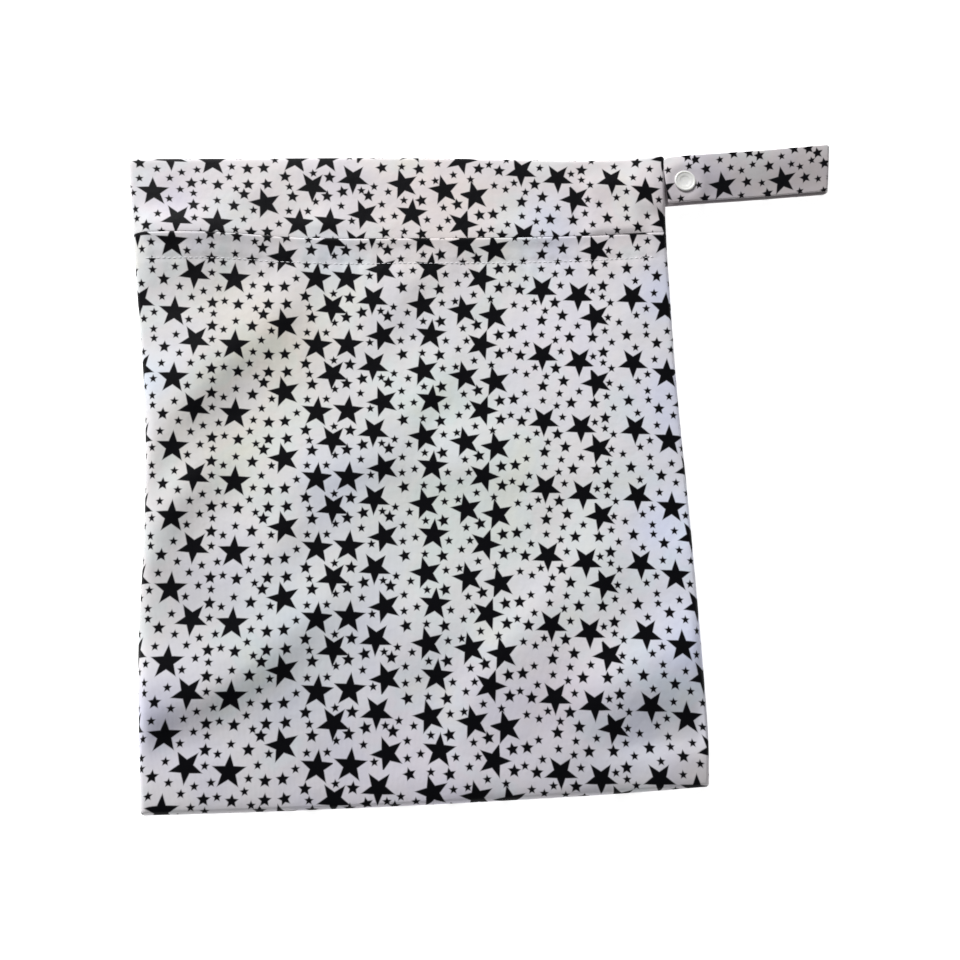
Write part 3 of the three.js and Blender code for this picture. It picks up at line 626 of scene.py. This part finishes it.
# The front panel. Each fold's crest runs through places of x, y and its height there, in mm. left and
# right are how far the fold spreads on either side of the way that the crest runs.
frontPanel = {
    "folds": {
        "leftShoulder": {"left": 26, "right": 15, "crest": [
            (-145, 10, 2.2), (-127, 33, 3.6), (-103, 57, 3.9), (-80, 78, 3.1), (-62, 101, 1.5)]},
        "leftEdge": {"left": 12, "right": 12, "crest": [
            (-140, -45, 1.8), (-129, -24, 3.2), (-114, -3, 1.8)]},
        "leftFlank": {"left": 13, "right": 11, "crest": [
            (-141, -55, 1.0), (-140, -85, 1.8), (-139, -112, 1.2)]},
        "upperMiddle": {"left": 22, "right": 11, "crest": [
            (-24, 68, 0.7), (-10, 90, 1.7), (-2, 101, 1.7), (15, 111, 0.7)]},
        "middle": {"left": 22, "right": 11, "crest": [(-12, 12, 0.8), (0, 30, 1.5), (15, 48, 0.8)]},
        "packCrease": {"left": 24, "right": 12, "crest": [
            (-70, -12, 0.8), (-52, -4, 1.4), (-15, -1, 1.2), (40, -3, 0.7), (130, -3, 0.5)]},
        "leftMiddle": {"left": 20, "right": 14, "crest": [
            (-86, -66, 0.9), (-72, -38, 2.0), (-55, -22, 1.4)]},
        "lowerLeft": {"left": 28, "right": 15, "crest": [
            (-148, -131, 4.6), (-132, -125, 5.6), (-109, -117, 5.6), (-93, -109, 4.9), (-79, -99, 4.2),
            (-66, -86, 3.1), (-50, -72, 1.4)]},
        "lowerMiddle": {"left": 26, "right": 34, "crest": [(-40, -82, 1.2), (0, -86, 1.8), (25, -82, 1.2)]},
        "lowerRight": {"left": 15, "right": 28, "crest": [
            (22, -155, 1.1), (28, -134, 2.1), (45, -109, 2.4), (66, -84, 2.1), (88, -60, 0.9)]},
        "rightRoll": {"left": 22, "right": 12, "crest": [(96, -12, 0.5), (98, -45, 1.3), (101, -80, 0.7)]},
        "cornerHump": {"left": 20, "right": 22, "crest": [
            (86, -150, 2.0), (98, -129, 3.4), (122, -113, 3.4), (150, -101, 2.8)]},
        "cornerHollow": {"left": 20, "right": 8, "crest": [
            (102, -152, -1.0), (125, -151, -1.8), (150, -149, -2.0)]},
    },
    "stitchDrop": 14.5,  # hem to the row of stitches
    "stitchDepth": 0.25,
    "stitchReach": 1.4,
    "stitchFade": 9.0,  # from a seam to the full depth of the stitches and puckers
    "pucker": 0.18,
    "puckerPitch": 9.0,
    "puckerReach": 6.0,
    "puckerDrift": (20.0, 5),  # cell and seed of what makes the puckers uneven
    "seamFade": 6.0,  # from a seam to the full height of the folds
    "hemFade": 7.0,  # from the hem to the full unevenness
    "unevenness": ((34.0, 0.30, 11), (13.0, 0.14, 12), (6.0, 0.035, 13)),  # cell, height, seed
    "hemTuck": 0.8,  # half the distance over which the front goes down under the hem
    "hemSwell": 0.50,  # how much the front swells just below the hem
    "swellReach": 4.0,
    "mouthDip": 0.35,
    "depth": 0.86,  # share of the bag's height that the rows are counted for
    "fineRows": 9.0,  # the length at the mouth with rows half a millimetre apart
    "printRow": 0.58,  # the row where the print is as charted, as a share of all rows
    "printStretch": 1.005,
    "printShift": (0.04, 0.54),
    "printMiddle": -37,
    # How the print is stretched at each height y: moved to the left, spread wider from printMiddle, bent
    # to the left at both sides; raised, raised at the right and lowered at the left, raised at both sides.
    # All but y and wider are in mm, where it matters at 150 mm from the middle.
    "print": {
        "y": [-165, -130, -90, -50, -10, 35, 80, 120],
        "left": [0, 0, 0, 0, 0, 0, 0, 0],
        "wider": [0.024, 0.008, 0.001, -0.003, -0.001, 0.0045, 0.012, 0.0275],
        "bent": [0, 0, 0, 0, 0, 0, 0, 0],
        "raised": [-0.6, 0.5, 0.9, 0.85, 0.7, 0.1, 0.5, 2.0],
        "tilted": [1.35, 1.85, 1.75, 1.05, 0.3, -0.5, -0.65, -0.8],
        "cupped": [-2.0, -2.8, -2.45, -1.5, -0.7, 1.0, 1.55, 2.7],
    },
}


# Where the print's own places lie once it is stretched: the plain places u and v on the cloth, less
# what the piece's table gives at the height y.
def stretchedPrint(piece, u, v, x, y):
    table = piece["print"]
    left, wider, bent, raised, tilted, cupped = (through(table["y"], table[key], y) for key in (
        "left", "wider", "bent", "raised", "tilted", "cupped"))
    out = x - piece["printMiddle"]
    t = out / 150
    return u + left - wider * out + bent * t**2, v - raised - tilted * t - cupped * t**2


# All folds together, fading out at the seams, with the cloth's own unevenness and the groove and the
# puckers of the row of stitches. The panel goes down under the hem and stays low to its edge.
def frontRelief(across, up, x, y):
    sides = np.minimum(across, 1 - across) * bag["width"]
    toSeam = np.minimum(sides, up * bag["height"])
    belowHem = hemY(across) - y
    relief = foldHeight(frontPanel["folds"], x, y)
    for cell, height, seed in frontPanel["unevenness"]:
        relief += height * softNoise(x, y, cell, seed) * smooth(belowHem / frontPanel["hemFade"])
    relief *= smooth(toSeam / frontPanel["seamFade"])
    fromRow = frontPanel["stitchDrop"] - belowHem
    groove = np.exp(-(fromRow / frontPanel["stitchReach"]) ** 2)
    drift = 3 * softNoise(x, y, *frontPanel["puckerDrift"])
    waves = np.sin(2 * math.pi * x / frontPanel["puckerPitch"] + drift)
    pucker = frontPanel["pucker"] * waves * np.exp(-np.abs(fromRow) / frontPanel["puckerReach"])
    relief += (pucker - frontPanel["stitchDepth"] * groove) * smooth(toSeam / frontPanel["stitchFade"])
    relief += frontPanel["hemSwell"] * np.exp(-(belowHem / frontPanel["swellReach"]) ** 2)
    shown = smooth(0.5 + belowHem / (2 * frontPanel["hemTuck"]))
    return relief * shown - frontPanel["mouthDip"] * (1 - shown)


# The front's outer face: the bag's loft, the zip's ridge and the panel's own relief.
def frontHeight(across, up, x, y):
    return loftHeight(across, up) + zipRidge(across, y) + frontRelief(across, up, x, y)


# The front's outer points, on columns from side to side and rows from the bottom seam to the mouth,
# which are close together where the panel goes down under the hem.
def frontGrid():
    rows = crowded(frontPanel["depth"] * bag["height"], bag["cell"], endRim=False)
    fine = rows[-1] - frontPanel["fineRows"]
    rows = np.concatenate([rows[rows < fine - 1], np.linspace(fine, rows[-1], 19)])
    columns = crowded(bag["width"], bag["cell"]) / bag["width"]
    across, share = np.meshgrid(columns, rows / rows[-1])
    up = share * upAt(across, coilY(across) - bag["mouthSetback"])
    x, y = seamPlaces(across, up)[:2]
    return np.stack([x, y, frontHeight(across, up, x, y)], -1)


outer = frontGrid()
middleColumn, middleRow = outer.shape[1] // 2, int(outer.shape[0] * frontPanel["printRow"])
stretch, shift = frontPanel["printStretch"], frontPanel["printShift"]
frontU = (outer[..., 0] + extraLength(outer, 1, middleColumn)) * stretch + shift[0]
frontV = (outer[..., 1] + extraLength(outer, 0, middleRow)) * stretch + shift[1]
frontU, frontV = stretchedPrint(frontPanel, frontU, frontV, outer[..., 0], outer[..., 1])
frontCloth = clothPiece("frontCloth", outer, backedBy(outer, np.full(outer.shape[:2], bag["cloth"])),
                        frontU, frontV, starPrint)
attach(frontCloth, "root")
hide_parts("front_panel")
print("front panel:", outer.shape)

# The top band is the flap over the zip.
topBand = {
    "folds": {
        "overLeft": {"crest": [(-108, 151, 0.4), (-88, 154, 0.9), (-70, 151, 0.4)], "left": 10, "right": 10},
        "overMiddle": {"crest": [(-64, 134, 0.3), (-50, 135, 0.7), (-38, 134, 0.3)], "left": 8, "right": 7},
        "besideStrap": {"crest": [(96, 159, 0.3), (115, 161, 0.7), (134, 159, 0.4)], "left": 6, "right": 7},
    },
    "hemDepth": 22.0,
    "hemThickness": 0.75,
    "lapLift": 0.3,
    "hemLift": 1.15,
    "strapLift": 1.3,
    "tapeWidth": 28.0,
    "sliderInset": 25.5, "sliderLength": 10.0, "pullLength": 11.0,
    "sliderAtHem": 0.15,  # share of the lift over the slider that is left at the hem itself
    "sliderFade": 3.0,
    "strapTuck": 6.0,
    "strapRoom": 0.6,
    "strapFade": (9.0, 18.0),  # how far the lift over the strap's root takes to settle, along y and x
    "seamFade": 9.0,  # from a seam to the full height of the folds
    "hemFade": 8.0,
    "unevenness": ((30.0, 0.30, 21), (12.0, 0.13, 22), (6.0, 0.03, 23)),
    "printAcross": (9.0, -0.022, 0.035),  # shift, and its change along x and along y from the middle
    "printUp": (4.7, 0.0, -0.035),
    "printHeight": 148.0,
    "printMiddle": -37,
    "print": {
        "y": [132, 140, 148, 156, 164],
        "left": [-0.1, -0.1, 0.05, 0, 0.1],
        "wider": [-0.0053, -0.0053, -0.0013, 0.008, 0.0113],
        "bent": [0.2, 0.2, 0.4, 1.0, 1.3],
        "raised": [0.2, 0.2, 0.5, 0.8, 1.1],
        "tilted": [0.3, 0.3, 0.2, 0.5, 0.9],
        "cupped": [-1.2, -1.2, -0.6, -1.0, -1.6],
    },
}
strap = {
    "length": 102.0, "width": 27.0, "thickness": 1.0, "tilt": 5.0, "cornerGap": 2.6, "tuck": 6.0,
    "endInset": -0.4, "endRound": 6.0, "loopGap": 2.4,
    "snapInset": 11.0, "snapDrop": 1.7,
    "snapRise": 1.1,  # underside of the lower run at the snap
    "upperRise": 5.4,  # underside of the upper run at the snap
    "floorGap": 0.3,
    "stud": 10.2,
    "lowerShift": -0.75,  # how far the lower run lies to the side of the strap's own line
    "upperShift": (0.0, 0.9),  # the same for the upper run, at its free end and at the fold
    "upperWider": (1.3, 1.8),  # how much wider the upper run lies than the lower, at the same two places
    "endSkew": 0.21,  # how much further the upper edge reaches, per mm of width
    "puff": 0.9,  # how far the cloth stands up in a ring round the snap
    "puffRing": (10.5, 4.5),  # the ring's radius and its reach
    "unevenness": (9.0, 0.12, 31),  # cell, height, seed
    "cells": (1.4, 1.3),
    "printStretch": 0.988,
    "printShift": -0.5,
    "printClimb": 0.007,
    "edgeRound": 0.7,
}
rootY = float(seamY(np.array(1.0), np.array(1.0))) - strap["cornerGap"] - strap["width"] / 2
rootX = float(seamX(np.array(1.0), upAt(np.array(1.0), np.array(rootY))))


# What the band passes over: the front's edge and the zip, the slider, and the strap's root.
def bandLift(across, y):
    overZip = 1 - smooth((y - coilY(across) - topBand["tapeWidth"] / 2) / topBand["tapeWidth"])
    fromSeam = (1 - across) * bag["width"]
    alongSlider = np.abs(fromSeam - topBand["sliderInset"] - topBand["pullLength"] / 2)
    reach = (topBand["sliderLength"] + topBand["pullLength"]) / 2
    overSlider = 1 - smooth((alongSlider - reach) / topBand["sliderLength"])
    atHem = topBand["sliderAtHem"]
    overSlider = overSlider * (atHem + (1 - atHem) * smooth((y - hemY(across)) / topBand["sliderFade"]))
    besideStrap = np.abs(y - rootY) - strap["width"] / 2 - topBand["strapRoom"]
    fadeY, fadeX = topBand["strapFade"]
    overStrap = (1 - smooth(besideStrap / fadeY)) * (1 - smooth((fromSeam - topBand["strapTuck"]) / fadeX))
    return (topBand["lapLift"] * overZip + topBand["hemLift"] * overSlider * overZip
            + topBand["strapLift"] * overStrap)


# The band's two skins, on rows from the hem to the top seam: it lies on the loft and over what it
# covers, and both skins meet at the hem in half a circle.
def bandGrid():
    columns = crowded(bag["width"], bag["cell"]) / bag["width"]
    depth = bag["flapDepth"]
    nose = topBand["hemThickness"] / 2
    nearHem = nose * (1 - np.cos(np.linspace(0, math.pi / 2, 6)[:-1]))
    rows = np.concatenate([nearHem, crowded(depth - nose, bag["cell"] * 0.8, startRim=False) + nose])
    across, share = np.meshgrid(columns, rows / depth)
    hemUp = upAt(across, hemY(across))
    up = hemUp + (1 - hemUp) * share
    fromHem = share * (1 - hemUp) * bag["height"]
    x, y, sides, ends = seamPlaces(across, up)
    relief = foldHeight(topBand["folds"], x, y)
    for cell, height, seed in topBand["unevenness"]:
        relief += height * softNoise(x, y, cell, seed)
    relief *= smooth(np.minimum(sides, ends) / topBand["seamFade"]) * smooth(fromHem / topBand["hemFade"])
    full = topBand["hemThickness"] + (bag["cloth"] - topBand["hemThickness"]) * smooth(
        fromHem / topBand["hemDepth"])
    nosed = quarterTurn(fromHem, nose)
    low = loftHeight(across, up) - bag["cloth"] + zipRidge(across, y) + bandLift(across, y) + relief
    z = low + full * (0.5 + 0.5 * nosed)
    outer = np.stack([x, y, z], -1)
    inner = backedBy(np.stack([x, y, low + full], -1), full)
    middle = (low + full / 2)[..., None]
    blend = nosed[..., None]
    inner = inner * blend + np.concatenate([outer[..., :2], middle], -1) * (1 - blend)
    return outer, inner


outer, inner = bandGrid()
x, y = outer[..., 0], outer[..., 1]
fromMiddle = y - topBand["printHeight"]
extraX = extraLength(outer, 1, outer.shape[1] // 2)
extraY = extraLength(outer, 0, outer.shape[0] // 3)
base, perX, perY = topBand["printAcross"]
bandU = x + extraX + base + perX * x + perY * fromMiddle
base, perX, perY = topBand["printUp"]
bandV = y + extraY + base + perX * x + perY * fromMiddle
bandU, bandV = stretchedPrint(topBand, bandU, bandV, x, y)
bandCloth = clothPiece("bandCloth", outer, inner, bandU, bandV, starPrint)
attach(bandCloth, "root")
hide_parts("top_band")
print("top band:", outer.shape)


# The back panel lies flat. rim is the radius of its edge, and top the height of its inner face.
backPanel = {"rim": 1.15, "cell": 4.0, "top": 1.0, "printShift": (11, 6)}


# A flat sheet whose underside turns up to the rim by a quarter turn.
def backGrid():
    rim = backPanel["rim"]
    def spread(length):
        turn = rim * (1 - np.cos(np.linspace(0, math.pi / 2, 7)[:-1]))
        middle = np.linspace(rim, length - rim, round(length / backPanel["cell"]))
        return np.concatenate([turn, middle, length - turn[::-1]])
    across, up = np.meshgrid(spread(bag["width"]) / bag["width"], spread(bag["height"]) / bag["height"])
    x, y, sides, ends = seamPlaces(across, up)
    turn = quarterTurn(sides, rim) * quarterTurn(ends, rim)
    low = np.stack([x, y, rim * (1 - turn)], -1)
    high = np.stack([x, y, rim - (rim - backPanel["top"]) * turn], -1)
    return low, high


low, high = backGrid()
backU, backV = (low[..., k] + backPanel["printShift"][k] for k in (0, 1))
backCloth = clothPiece("backCloth", low, high, backU, backV, starPrint, turned=True)
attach(backCloth, "root")
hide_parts("back_panel")
print("back panel:", low.shape)


# The middle of the strap's cloth from the side, as distance from the seam and height over the floor: a
# lower run, half a circle at the far end and the upper run back to its free end. Each run goes smoothly
# from its height at the snap to its height at the fold.
def strapLine():
    half = strap["thickness"] / 2
    turn = (strap["loopGap"] + strap["thickness"]) / 2
    turnAt = strap["length"] - turn - half
    flatEnd = strap["snapInset"] + strap["stud"] / 2
    settle = (turnAt - flatEnd) * 0.6
    low = strap["floorGap"] + half
    high = low + 2 * turn
    cell = strap["cells"][0]
    out = np.arange(-strap["tuck"], turnAt, cell)
    lower = strap["snapRise"] + half
    lower = lower + (low - lower) * smooth((out - flatEnd) / settle)
    angles = np.linspace(-math.pi / 2, math.pi / 2, 13)
    bendX, bendZ = turnAt + turn * np.cos(angles), low + turn + turn * np.sin(angles)
    back = np.arange(turnAt, strap["endInset"], -cell)[1:]
    nose = half * (1 - np.cos(np.linspace(0, math.pi / 2, 6)))
    back = np.concatenate([back[back > strap["endInset"] + half + cell / 2], strap["endInset"] + nose[::-1]])
    upper = strap["upperRise"] + half
    upper = upper + (high - upper) * smooth((back - flatEnd) / settle)
    along = np.concatenate([out, bendX, back])
    rise = np.concatenate([lower, bendZ, upper])
    share = np.concatenate([np.zeros(len(out)), (angles / math.pi + 0.5), np.ones(len(back))])
    return along, rise, share


# The strap's two skins: its line from the side, spread sideways and thickened along the line's normal.
# The edges are rounded, the free end's upper corner too, and the far end is cut at a slant.
def strapGrid():
    along, rise, share = strapLine()
    half = strap["thickness"] / 2
    line = np.stack([along, rise], -1)
    tangent = np.gradient(line, axis=0)
    tangent /= np.linalg.norm(tangent, axis=1, keepdims=True)
    edge = strap["edgeRound"] * (1 - np.cos(np.linspace(0, math.pi / 2, 7)[:-1]))
    count = round((strap["width"] - 2 * strap["edgeRound"]) / strap["cells"][1])
    middle = np.linspace(strap["edgeRound"], strap["width"] - strap["edgeRound"], count + 1)
    sideways = np.concatenate([edge, middle, strap["width"] - edge[::-1]])  # from the lower-run edge
    fromEdge = np.minimum(sideways, strap["width"] - sideways)
    onUpper = share > 0.99
    toEnd = np.where(onUpper, along - strap["endInset"], strap["endRound"])
    cornerShare = np.clip(1 - toEnd / strap["endRound"], 0, 1)
    trim = 0.55 * strap["endRound"] * (1 - np.sqrt(1 - cornerShare**2))
    narrow, wide = strap["upperWider"]
    wider = 1 + share * (narrow + (wide - narrow) * along / strap["length"]) / strap["width"]
    side = (sideways[None, :] - strap["width"] / 2) * wider[:, None]
    side = side * (1 - 2 * trim[:, None] / strap["width"] * np.where(side > 0, 1.0, 0.2))
    free, fold = strap["upperShift"]
    upperShift = free + (fold - free) * along / strap["length"]
    side = side + (strap["lowerShift"] * (1 - share) + upperShift * share)[:, None]
    thick = half * quarterTurn(fromEdge, strap["edgeRound"])[None, :] * np.where(
        onUpper, quarterTurn(along - strap["endInset"], half), 1.0)[:, None]
    shapeX = along[:, None] + 0 * side
    skew = strap["endSkew"] * (strap["width"] / 2 - side) * smooth(along[:, None] / strap["length"])
    puffAway = np.hypot(shapeX - strap["snapInset"], side + strap["snapDrop"])
    ringRadius, ringReach = strap["puffRing"]
    puff = strap["puff"] * np.exp(-((puffAway - ringRadius) / ringReach) ** 2) * onUpper[:, None]
    cell, uneven, seed = strap["unevenness"]
    height = rise[:, None] + puff + uneven * softNoise(shapeX + 40 * share[:, None], side, cell, seed)
    def skin(sign):
        px = shapeX - tangent[:, 1][:, None] * thick * sign - skew
        pz = height + tangent[:, 0][:, None] * thick * sign
        return px, side, pz
    tilt = math.radians(strap["tilt"])
    def placed(px, py, pz):
        return np.stack([rootX + px * math.cos(tilt) - py * math.sin(tilt),
                         rootY + px * math.sin(tilt) + py * math.cos(tilt), pz], -1)
    showing, hidden = placed(*skin(-1)), placed(*skin(1))  # the loop's outer side and its inner one
    return showing, hidden, shapeX - skew, side, onUpper


outerSkin, innerSkin, strapU, strapV, onUpper = strapGrid()
strapV = strapV - strap["printClimb"] * strapU
strapU = strapU * strap["printStretch"] + strap["printShift"]
strapCloth = clothPiece("strapCloth", outerSkin, innerSkin, strapU, strapV, strapPrint,
                        turned=True, linedInside=False)
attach(strapCloth, "root")
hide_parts("strap_loop")
print("strap loop:", outerSkin.shape)


# The press snap's cap.
snap = {
    "radius": 6.2, "rise": 6.7, "thickness": 0.8,
    "post": 4.5,  # height of the post's foot
    "postRadius": 1.1,
    "rim": 0.28,  # how far the rim stands over the flat ring
    "rimStep": 0.8,  # width of the step down from the rim
    "dish": 3.3, "dishDepth": 0.40,
    "sides": 64,
}


# A round piece: its profile of radius and height, turned about an upright axis.
def turnedPiece(name, profile, sides, centre, *materials):
    profile = np.asarray(profile, float)
    angle = np.linspace(0, 2 * math.pi, sides, endpoint=False)
    ring = np.stack([profile[:, 0][:, None] * np.cos(angle), profile[:, 0][:, None] * np.sin(angle),
                     profile[:, 1][:, None] + 0 * angle], -1) + np.array(centre)
    rows = len(profile)
    spot = np.arange(rows * sides).reshape(rows, sides)
    after = np.roll(spot, -1, axis=1)
    quads = np.stack([spot[:-1], after[:-1], after[1:], spot[1:]], -1).reshape(-1, 4)
    return addObject(name, meshFrom(name, ring.reshape(-1, 3), quads), *materials)


# Small specks, from noise.
def specks(tree, place, scale, detail):
    noise = addNode(tree, "ShaderNodeTexNoise")
    noise.inputs["Scale"].default_value = scale
    noise.inputs["Detail"].default_value = detail
    tree.links.new(place, noise.inputs["Vector"])
    return noise.outputs["Fac"]


# A weave: bands along X times bands along Y.
def weave(tree, place, scale):
    bands = []
    for direction in "XY":
        wave = addNode(tree, "ShaderNodeTexWave", wave_type="BANDS", bands_direction=direction)
        wave.inputs["Scale"].default_value = scale
        tree.links.new(place, wave.inputs["Vector"])
        bands.append(wave.outputs["Fac"])
    return mathNode(tree, "MULTIPLY", *bands)


# Two tones mixed by a pattern, which is the material's relief too, in mm.
def twoTones(name, first, second, roughness, relief, pattern, *patternFacts):
    made, tree, shader = newMaterial(name)
    mixed = pattern(tree, addNode(tree, "ShaderNodeTexCoord").outputs["Object"], *patternFacts)
    mix = addNode(tree, "ShaderNodeMix", data_type="RGBA")
    mix.inputs[6].default_value = (*first, 1)
    mix.inputs[7].default_value = (*second, 1)
    tree.links.new(mixed, mix.inputs["Factor"])
    tree.links.new(mix.outputs[2], shader.inputs["Base Color"])
    shader.inputs["Roughness"].default_value = roughness
    bump = addNode(tree, "ShaderNodeBump")
    bump.inputs["Distance"].default_value = relief * mm
    tree.links.new(mixed, bump.inputs["Height"])
    tree.links.new(bump.outputs[0], shader.inputs["Normal"])
    return made, shader


# Moulded plastic: its colour and one a little darker, in fine specks.
def plasticMaterial(name, colour, roughness, coat=0.0, subsurface=0.0):
    darker = [c * 0.93 for c in colour]
    made, shader = twoTones(name, colour, darker, roughness, 0.02, specks, 600, 4)
    shader.inputs["Coat Weight"].default_value = coat
    shader.inputs["Coat Roughness"].default_value = 0.08
    shader.inputs["Subsurface Weight"].default_value = subsurface
    shader.inputs["Subsurface Radius"].default_value = (0.002, 0.002, 0.0018)
    shader.inputs["Subsurface Scale"].default_value = 0.5
    return made


milkyPlastic = plasticMaterial("milkyPlastic", (0.78, 0.78, 0.76), 0.34, coat=0.2, subsurface=0.3)
zipPlastic = plasticMaterial("zipPlastic", (0.78, 0.78, 0.79), 0.45)


# The cap: a rounded rim, a flat ring inside it and a shallow dish in the middle, with its post below.
def capProfile():
    radius, rise, thick = snap["radius"], snap["rise"], snap["thickness"]
    bend = np.linspace(-math.pi / 2, math.pi / 2, 11)
    edge = (thick + snap["rim"]) / 2
    rimPart = np.stack([radius - edge + edge * np.cos(bend), rise + edge + edge * np.sin(bend)], -1)
    top = rise + thick + snap["rim"]
    inward = np.linspace(0, 1, 8)
    step = np.stack([radius - edge - 0.3 - snap["rimStep"] * inward, top - snap["rim"] * smooth(inward)], -1)
    dish = np.linspace(0, 1, 10)[:-1]
    bowl = np.stack([snap["dish"] * (1 - dish), top - snap["rim"] - snap["dishDepth"] * np.sqrt(
        np.maximum(0, 1 - (1 - dish) ** 2))], -1)
    foot, post, axis = snap["post"], snap["postRadius"], 0.02
    below = [[axis, foot], [post, foot], [post, rise], [radius - edge - 0.4, rise]]
    return np.concatenate([below, rimPart, step, bowl, [[axis, top - snap["rim"] - snap["dishDepth"]]]])


tilt = math.radians(strap["tilt"])
snapCentre = (rootX + strap["snapInset"] * math.cos(tilt) + strap["snapDrop"] * math.sin(tilt),
              rootY + strap["snapInset"] * math.sin(tilt) - strap["snapDrop"] * math.cos(tilt), 0)
snapCap = turnedPiece("snapCap", capProfile(), snap["sides"], snapCentre, milkyPlastic)
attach(snapCap, "root")
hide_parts("snap_cap")

wovenTape, shader = twoTones("wovenTape", (0.60, 0.60, 0.61), (0.74, 0.74, 0.75), 0.9, 0.12, weave, 500)
finishes = {
    "snap_socket": milkyPlastic, "snap_stud": milkyPlastic, "snap_back_cap": milkyPlastic,
    "zip_coil": zipPlastic, "zip_slider": zipPlastic,
    "zip_tape_lower": wovenTape, "zip_tape_upper": wovenTape,
}
for node, finish in finishes.items():
    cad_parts[node].data.materials.clear()
    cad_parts[node].data.materials.append(finish)
print("snap and zip are finished")

# Stitches.
stitches = {"pitch": 2.9, "length": 2.3, "width": 0.42, "rise": 0.3, "margin": 7.0, "sides": 6, "steps": 6}
sewingThread, shader = twoTones("sewingThread", (0.66, 0.66, 0.70), (0.86, 0.86, 0.88), 0.6, 0.05,
                                specks, 2500, 2)
shader.inputs["Sheen Weight"].default_value = 0.3


# A row of stitches: each is a short spindle along its own line, its section a flattened ring that
# swells from the needle hole to its middle. starts and ends are its two holes.
def stitchRow(name, starts, ends):
    steps, sides = stitches["steps"], stitches["sides"]
    t = np.linspace(0, 1, steps)
    swell = np.sqrt(np.maximum(0.02, 1 - (2 * t - 1) ** 2))
    angle = np.linspace(0, 2 * math.pi, sides, endpoint=False)
    along = ends - starts
    level = along.copy()
    level[:, 2] = 0
    level /= np.linalg.norm(level, axis=1, keepdims=True)
    aside = np.stack([-level[:, 1], level[:, 0], 0 * level[:, 0]], -1)
    centre = starts[:, None, :] + along[:, None, :] * t[None, :, None]
    centre[..., 2] += stitches["rise"] * swell * 0.5
    ringSide = (stitches["width"] / 2 * swell)[:, None] * np.cos(angle)
    ringUp = (stitches["rise"] / 2 * swell)[:, None] * np.sin(angle)
    points = centre[:, :, None, :] + ringSide[None, :, :, None] * aside[:, None, None, :]
    points[..., 2] += ringUp[None]
    count = len(starts)
    spot = np.arange(count * steps * sides).reshape(count, steps, sides)
    after = np.roll(spot, -1, axis=2)
    walls = np.stack([spot[:, :-1], spot[:, 1:], after[:, 1:], after[:, :-1]], -1).reshape(-1, 4)
    half = sides // 2
    caps = []
    for end, order in ((0, 1), (steps - 1, -1)):
        ring = spot[:, end]
        for k in range(1, half):
            across = (ring[:, sides - 1 - k], ring[:, (sides - k) % sides])
            caps.append(np.stack([ring[:, k - 1], ring[:, k], *across], -1)[:, ::order])
    quads = np.concatenate([walls] + caps)
    mesh = meshFrom(name, points.reshape(-1, 3), quads)
    return addObject(name, mesh, sewingThread)


# The row that holds the zip's lower tape, right across the front panel.
def zipStitches():
    count = int((bag["width"] - 2 * stitches["margin"]) / stitches["pitch"])
    at = (stitches["margin"] + stitches["pitch"] * np.arange(count)) / bag["width"]
    def onCloth(across):
        y = hemY(across) - frontPanel["stitchDrop"]
        up = upAt(across, y)
        x = seamX(across, up)
        return np.stack([x, y, frontHeight(across, up, x, y)], -1)
    starts = onCloth(at)
    ends = onCloth(at + stitches["length"] / bag["width"])
    return stitchRow("zipStitches", starts, ends)


zipRow = zipStitches()
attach(zipRow, "root")
print("stitches are sewn")

# Floor, light and world.
studio = {
    "floor": (0.90, 0.90, 0.90, 1), "glow": 0.75,
    "world": 0.30,
    "key": {"place": (-3.3, 6.2, 3.3), "size": 3.0, "watts": 960},
}


# A pale floor that glows a little, just below the bag.
def makeFloor():
    corners = np.array([[-4000, -4000, -0.2], [4000, -4000, -0.2], [4000, 4000, -0.2], [-4000, 4000, -0.2]])
    mesh = meshFrom("floor", corners, np.array([[0, 1, 2, 3]]), smooth=False)
    made, tree, shader = newMaterial("paleFloor")
    shader.inputs["Base Color"].default_value = studio["floor"]
    shader.inputs["Roughness"].default_value = 0.9
    shader.inputs["Specular IOR Level"].default_value = 0.1
    shader.inputs["Emission Color"].default_value = (1, 1, 1, 1)
    shader.inputs["Emission Strength"].default_value = studio["glow"]
    floor = addObject("floor", mesh, made)


# A round light that is aimed at the middle of the bag.
def makeLight(name):
    facts = studio[name]
    light = bpy.data.lights.new(name, "AREA")
    light.shape = "DISK"
    light.size = facts["size"]
    light.energy = facts["watts"]
    lamp = bpy.data.objects.new(name, light)
    place = Matrix.Translation(facts["place"])
    aim = -place.translation
    lamp.matrix_world = place @ aim.to_track_quat("-Z", "Y").to_matrix().to_4x4()
    bpy.context.scene.collection.objects.link(lamp)


# An even white sky.
def makeWorld():
    world = bpy.data.worlds.new("studio")
    world.use_nodes = True
    world.node_tree.nodes["Background"].inputs["Color"].default_value = (1, 1, 1, 1)
    world.node_tree.nodes["Background"].inputs["Strength"].default_value = studio["world"]
    bpy.context.scene.world = world


makeFloor()
makeLight("key")
makeWorld()
bpy.context.scene.view_settings.view_transform = "Standard"
print("studio is lit")
